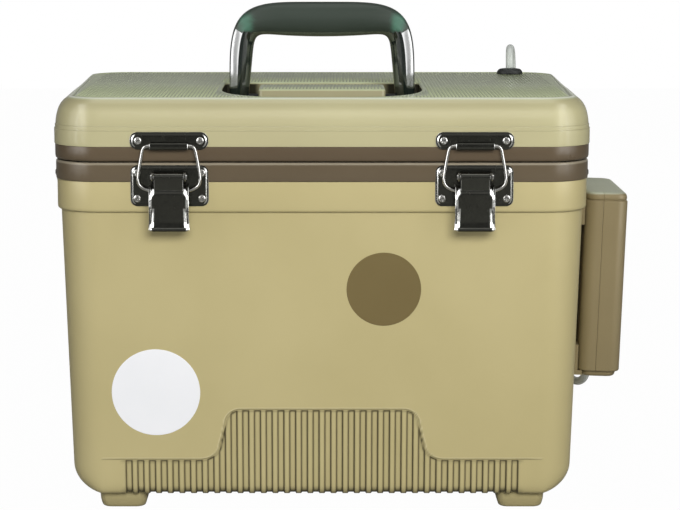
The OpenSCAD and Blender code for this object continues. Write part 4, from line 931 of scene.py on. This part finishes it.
# %% [markdown]
# ## The air pump
# Two half shells meet at a seam that runs over the top. Each is a loft of
# D-shaped rings: round corners on its own side, tight ones at the seam. A
# stepped lip goes round the top, a cap closes the bottom, and a bracket with a
# long slot carries the pump on the wall.

# %% Pump shells
PUMP_AT = np.array([174.1, -4.0, 204.3])
PUMP_IN, PUMP_SEAM, PUMP_OUT, PUMP_HALF = 8.7, 20.7, 38.1, 46.0
PUMP_BOTTOM, CASE_R, SEAM_R, SEAM_GAP = -122.0, 8.0, 0.2, 0.07


def on_wall(points):
    """Points in the pump's own millimetres, turned by the wall's draft and placed."""
    x, y, z = np.moveaxis(np.asarray(points, float), -1, 0)
    c, s = math.cos(DRAFT_ANGLE), math.sin(DRAFT_ANGLE)
    return (np.stack([x * c + z * s, y, z * c - x * s], -1) + PUMP_AT) * MM


def shell_ring(wall_x, seam_x, inset, z):
    """One D-shaped ring: straight to the seam with tight corners, round at the wall side."""
    out = 1 if wall_x > seam_x else -1
    x1, half, r = wall_x - out * inset, PUMP_HALF - inset, max(CASE_R - 0.55 * inset, 2.5)
    a, b = quarter_turn(13), quarter_turn(5)
    seam = np.column_stack([seam_x + out * SEAM_R * (1 - np.cos(b)), -half + SEAM_R * (1 - np.sin(b))])
    run = np.array([(x, -half) for x in np.linspace(seam_x + out * SEAM_R, x1 - out * r, 8)[1:-1]])
    corner = np.column_stack([x1 - out * r * (1 - np.sin(a)), -half + r * (1 - np.cos(a))])
    face = [(x1, y) for y in np.linspace(-half + r, half - r, 9)[1:-1]]
    front = np.vstack([seam, run, corner])
    return at_height(np.vstack([front, face, front[::-1] * [1, -1]]), z)


shell_rows = [(1.2, PUMP_BOTTOM), (0.5, PUMP_BOTTOM + 0.2), (0.1, PUMP_BOTTOM + 0.7), (0, PUMP_BOTTOM + 1.4),
    (0, -60), (0, -2.4), (0.1, -2.0), (0.35, -1.75), (0.95, -1.6), (1.1, -1.45), (1.1, -1.2), (0.75, -1.0),
    (0.5, -0.7), (0.45, 0.4), (0.6, 1.5), (0.9, 2.4), (1.5, 3.2), (2.4, 3.75), (3.6, 4.0), (5.0, 4.0)]
halves = (("inner", PUMP_IN, PUMP_SEAM - SEAM_GAP), ("outer", PUMP_OUT, PUMP_SEAM + SEAM_GAP))
for half, wall_x, seam_x in halves:
    shell = loft("pump_shell_" + half, [on_wall(shell_ring(wall_x, seam_x, i, z)) for i, z in shell_rows])
    settle(shell, 50, [PUMP], "body", "pump_case_" + half)

# %% Pump cap
cap_rows = [(6.5, -4.0), (5.0, -4.0), (4.1, -3.8), (3.4, -3.3), (2.9, -2.5), (2.6, -1.6), (2.45, -0.4),
    (2.45, 0.6)]
case_ring = lambda i: four_arcs((PUMP_IN + PUMP_OUT) / 2, 0, (PUMP_OUT - PUMP_IN) / 2 - i, PUMP_HALF - i,
    max(CASE_R - i * 0.6, 2.5))
cap = loft("pump_cap", [on_wall(at_height(case_ring(i), PUMP_BOTTOM + z)) for i, z in cap_rows])
settle(cap, 50, [PUMP], "body", "pump_base_cap")


# %% Pump bracket
def bracket_outline():
    """Side outline of the bracket: a plate with a block at each end and round corners in the slot between."""
    plate, x1, foot_x, lo, hi = 2.6, PUMP_IN - 0.1, PUMP_IN + 3.3, -125.4, -3.0
    slot_low, slot_high, under = -104.0, -19.0, PUMP_BOTTOM - 0.1
    r = (x1 - plate) * 0.62
    a = quarter_turn(9)
    x, z = plate + r * (1 - np.sin(a)), r * (1 - np.cos(a))
    high_end, low_end = np.column_stack([x, slot_high - z]), np.column_stack([x, slot_low + z])[::-1]
    return np.vstack([[(0.1, lo), (0.1, hi), (x1, hi), (x1, slot_high)], high_end, low_end,
        [(x1, slot_low), (x1, under), (foot_x, under), (foot_x, lo)]])


BRACKET_HALF = 42.0
edge = bracket_outline()
bracket_rings = [on_wall(np.insert(edge, 1, y, axis=1)) for y in (-BRACKET_HALF, BRACKET_HALF)]
bracket = loft("pump_bracket_plate", bracket_rings)
settle(bracket, 40, [PUMP], "body", "pump_bracket")

# %% [markdown]
# ## The draw latches
# Pressed stainless sheet: plates with a raised panel and a slanted border that
# catches the side lamps and is given a brighter steel as painted highlight, a
# crowned lever with its sides folded back, and a bail of bent wire whose bar
# lies under the keeper's lip.

# %% Latch sheet metal
LATCH_X = 99.7
PLATE_Y, PLATE_Z, PLATE_W, PLATE_H = -124.05, 222.1, 51.3, 27.1
LID_Y, KEEPER_Z, KEEPER_H = -125.55, 251.7, 11.4
PIVOT_LY, PIVOT_LZ = -131.5, 228.4
BAIL_LY, BAIL_LZ, BAIL_R = -129.0, 219.3, 1.05
LIP_LY, LIP_LZ = -128.1, 248.4
LEVER_HIGH, LEVER_TIP = 221.0, 193.0
PANEL_OUT, BASE_SCREW_X, BASE_SCREW_Z, KEEPER_SCREW_X = 1.2, 21.05, 8.4, 20.35


def pressed_plate(name, w, h, r, x, y, z):
    """A plate whose panel stands 0.5 mm above its border: rounded rings drawn in step by step."""
    rows = [(0, 0), (0, 0.5), (0.12, 0.62), (0.35, 0.68), (0.95, 0.7), (1.15, 0.74), (1.75, 1.1), (2.0, 1.18),
        (2.3, 1.2), (3.2, 1.2)]
    rings = [np.insert(four_arcs(x, z, w / 2 - i, h / 2 - i, max(r - i, 0.8)), 1, y - out, axis=1)
        for i, out in rows]
    return loft(name, np.array(rings) * MM)


def sheet(name, outline_yz, x0, x1, edge=0.2):
    """A flat outline in the plane across the latch, from x0 to x1, its rims broken by a small chamfer."""
    p = np.asarray(outline_yz, float)
    middle = p.mean(0)
    away = p - middle
    small = middle + away * (1 - edge / np.linalg.norm(away, axis=1))[:, None]
    rings = [(x0, small), (x0 + edge, p), (x1 - edge, p), (x1, small)]
    return loft(name, np.array([np.insert(q, 0, x, axis=1) for x, q in rings]) * MM)


def arc_yz(y, z, r, start, end, steps=14):
    """Points of an arc in the plane across the latch, angles from the back (+Y) upwards."""
    a = np.radians(np.linspace(start, end, steps))
    return np.column_stack([y + r * np.cos(a), z + r * np.sin(a)])


def latch_base(x):
    """Base plate and the two ears that hold the lever's pin."""
    ear = np.vstack([[(-124.6, 232.6)], arc_yz(PIVOT_LY, PIVOT_LZ, 3.4, 75, 285, 22), [(-124.6, 223.2)]])
    return join("base_plate", [pressed_plate("base_plate", PLATE_W, PLATE_H, 4.5, x, PLATE_Y, PLATE_Z)]
        + [sheet("ear", ear, x + lo, x + lo + 1.2) for lo in (-11.0, 9.8)])


def crowned_lever(x):
    """Front plate that bows towards you, flares and rolls over at its tip, two folded sides, a tongue."""
    u = np.linspace(-1, 1, 33)[None, :]
    v = np.linspace(0, 1, 41)[:, None]
    half = 12.55 + 0.75 * smoothstep((v - 0.45) / 0.55)
    z = LEVER_HIGH - (LEVER_HIGH - LEVER_TIP - 1.2) * v
    top_roll = 1.7 * np.clip(1 - v / 0.13, 0, 1) ** 2
    side_roll = 0.5 * np.abs(u) ** 14 + 0.35 * np.abs(u) ** 2
    corner = 1.5 * np.clip((np.abs(u) - 0.73) / 0.27, 0, 1) ** 1.2 * smoothstep(1 - v / 0.25)
    low_part = smoothstep((v - 0.44) / 0.12) * smoothstep((1.02 - v) / 0.12)
    low_side = 1.6 * np.clip((np.abs(u) - 0.74) / 0.26, 0, 1) ** 1.2 * low_part
    y = -135.15 + side_roll + top_roll + corner + low_side - 0.3 * smoothstep((v - 0.8) / 0.2)
    front = np.stack(np.broadcast_arrays(x + half * u, y, z), -1)
    plate = np.concatenate([front, (front + [0, 1.1, 0])[:, ::-1]], 1)
    e = np.linspace(-1, 1, 25)
    tip_path = at_height(np.column_stack([x + 13.1 * e, 0.55 * np.abs(e) ** 3 - 134.9]), LEVER_TIP + 1.5)
    tip_r = 1.45 * np.sqrt(np.clip(1 - np.abs(e) ** 14, 0.06, 1))
    side = np.vstack([[(-133.9, 219.6), (-133.0, 222.3)], arc_yz(BAIL_LY, BAIL_LZ, 3.7, 120, -50, 16),
        [(-132.2, 204.2), (-133.4, 200.5), (-134.2, 198.0), (-134.4, 206)]])
    tongue = np.vstack([[(-134.0, 218.6)], arc_yz(PIVOT_LY, PIVOT_LZ, 2.9, 185, -60, 26),
        [(-133.0, 226.0), (-133.0, 218.6)]])
    return join("latch_lever", [loft("front_plate", plate * MM),
        loft("tip", tube_rings(tip_path * MM, tip_r * MM, 20, (0, 0, 1))),
        sheet("side", side, x - 12.9, x - 11.75), sheet("side", side, x + 11.75, x + 12.9),
        sheet("tongue", tongue, x - 9.4, x + 9.4, 0.25)])


def wire_bail(x):
    """The bail's wire through its bends, from the lever's hole out, up, over and back."""
    h = LIP_LZ - BAIL_LZ
    half = [(11.6, 0), (13.6, 0.2), (16.2, 1.2), (18.4, 2.6), (19.8, 4.6), (20.2, 7.2), (19.9, 10.4),
        (18.9, h * 0.6), (17.9, h - 6.4), (17.4, h - 3.8), (16.7, h - 1.7), (15.2, h - 0.4), (13, h),
        (6.5, h)]
    side, up = np.array(half + [(0, h)] + [(-a, b) for a, b in half[::-1]]).T
    line = np.column_stack([x + side, BAIL_LY + (LIP_LY - BAIL_LY) * up / h, BAIL_LZ + up])
    return loft("latch_bail", tube_rings(curve_through(line * MM, 6), BAIL_R * MM, 16, (0, 1, 0)))


def keeper(x):
    """Keeper plate with the lip that the bail's bar hooks into."""
    lip = np.vstack([[(-126.4, 246.05), (-126.4, 247.2)], arc_yz(-128.9, 247.7, 0.5, -90, -180, 5),
        [(-129.4, 249.8)], arc_yz(-130.0, 249.8, 0.6, 0, 180, 9), arc_yz(-129.6, 247.05, 1.0, 180, 270, 7)])
    return join("keeper_plate", [pressed_plate("keeper_plate", PLATE_W, KEEPER_H, 5, x, LID_Y, KEEPER_Z),
        sheet("lip", lip, x - 12.5, x + 12.5, 0.3)])


def screw_head(x, y, z, turn, radius=2.55, height=1.25):
    """Domed head with a cross: height falls as 1 - r^2, less the cross, eased over its edge; a short stem."""
    r = np.concatenate([[0.02], np.linspace(0.08, 0.94, 16), [1.0]])[:, None]
    px, pz = r * np.cos(full_turn(64)), r * np.sin(full_turn(64))
    qx = np.abs(px * math.cos(turn) + pz * math.sin(turn))
    qz = np.abs(pz * math.cos(turn) - px * math.sin(turn))
    arm = np.minimum(np.maximum(qx / 0.58, qz / 0.13), np.maximum(qz / 0.58, qx / 0.13))
    rise = height * (0.28 + 0.72 * np.sqrt(np.clip(1 - r**2, 0, 1))) - 0.75 * smoothstep((1.25 - arm) / 0.5)
    dome = np.stack([x + radius * px, y - rise, z + radius * pz], -1)
    foot = dome[-1:].copy()
    foot[..., 1] = y + 0.3
    stem = (foot + [x, y + 0.3, z]) / 2
    return loft("screw_head", np.concatenate([dome, foot, stem, stem + [0, 2.0, 0]]) * MM)


# %% Latch assembly
for side_name, s in (("left", -1), ("right", 1)):
    x = s * LATCH_X
    base_screws = [screw_head(x + sx * BASE_SCREW_X, PLATE_Y - PANEL_OUT, PLATE_Z + sz * BASE_SCREW_Z,
        0.5 + sx * 0.9 + sz * 0.4 + s) for sx in (-1, 1) for sz in (-1, 1)]
    keeper_screws = [screw_head(x + sx * KEEPER_SCREW_X, LID_Y - PANEL_OUT, KEEPER_Z, 0.3 + sx * 0.7 + s)
        for sx in (-1, 1)]
    for piece, node, body, finish, angle in (
            (latch_base(x), "latch_base", "body", STEEL, 30),
            (crowned_lever(x), "latch_lever", "latch_lever_" + side_name, STEEL, 30),
            (wire_bail(x), "latch_bail", "latch_bail_" + side_name, WIRE, 60),
            (keeper(x), "latch_keeper", "lid", STEEL, 30),
            (join("base_screws", base_screws), "latch_base_screws", "body", WIRE, 50),
            (join("keeper_screws", keeper_screws), "latch_keeper_screws", "lid", WIRE, 50)):
        piece.name = f"{node}_{side_name}_formed"
        settle(piece, angle, [finish, HIGHLIGHT_STEEL], body, f"{node}_{side_name}")
        # painted highlight: faces turned partly sideways get the brighter steel
        if finish is STEEL:
            turned = np.array([0.2 < abs(f.normal.x) < 0.85 for f in piece.data.polygons])
            piece.data.polygons.foreach_set("material_index", turned.astype(np.int32))

# %% [markdown]
# ## Stickers
# Two round stickers lie on the front wall. Their print is left out.


# %% Stickers
def sticker(name, x, z, diameter, finish, thick=0.00016):
    """A thin disc on the drafted front wall, with a rounded rim."""
    wall_y = -HALF_D + TUB_IN + (COLLAR_Z - z) * DRAFT
    r = np.array([0.02, 0.3, 0.6, 0.85, 0.96, 0.985, 0.995, 1.0, 1.0])[:, None] * diameter / 2
    out = np.array([1, 1, 1, 1, 1, 0.98, 0.85, 0.5, -0.5])[:, None] * thick
    c, s = math.cos(DRAFT_ANGLE), math.sin(DRAFT_ANGLE)
    up = r * np.sin(full_turn(96))
    points = np.stack([x + r * np.cos(full_turn(96)), wall_y - up * s - out * c, z + up * c], -1)
    settle(loft(name, points), 60, [finish], "body", None)


PAPER = plastic("sticker_white", (240, 240, 243), (234, 235, 238), 0.45, 0.000004)
PRINT = plastic("sticker_brown", (112, 98, 62), (106, 92, 57), 0.5, 0.000004)
sticker("white_sticker", -110.8 * MM, 82.3 * MM, 59 * MM, PAPER)
sticker("brown_sticker", 40.9 * MM, 152.5 * MM, 49.4 * MM, PRINT)

# %% [markdown]
# ## The grommet
# Black rubber on the lid, with the hose standing in it.

# %% Grommet
grommet_rows = [(3.3, 276.2), (3.35, 278.9), (9.5, 278.9), (9.7, 279.3), (9.6, 280.2), (9.1, 281.2),
    (8.3, 282.1), (7.4, 282.55), (6.2, 282.75), (4.2, 282.8), (3.25, 282.7), (3.05, 282.3), (3.02, 280)]
circle = np.column_stack([np.cos(full_turn(56)), np.sin(full_turn(56))])
grommet = loft("grommet", [at_height([GROMMET_X, GROMMET_Y] + r * circle, z) * MM for r, z in grommet_rows])
settle(grommet, 50, [RUBBER], "lid", "hose_grommet")
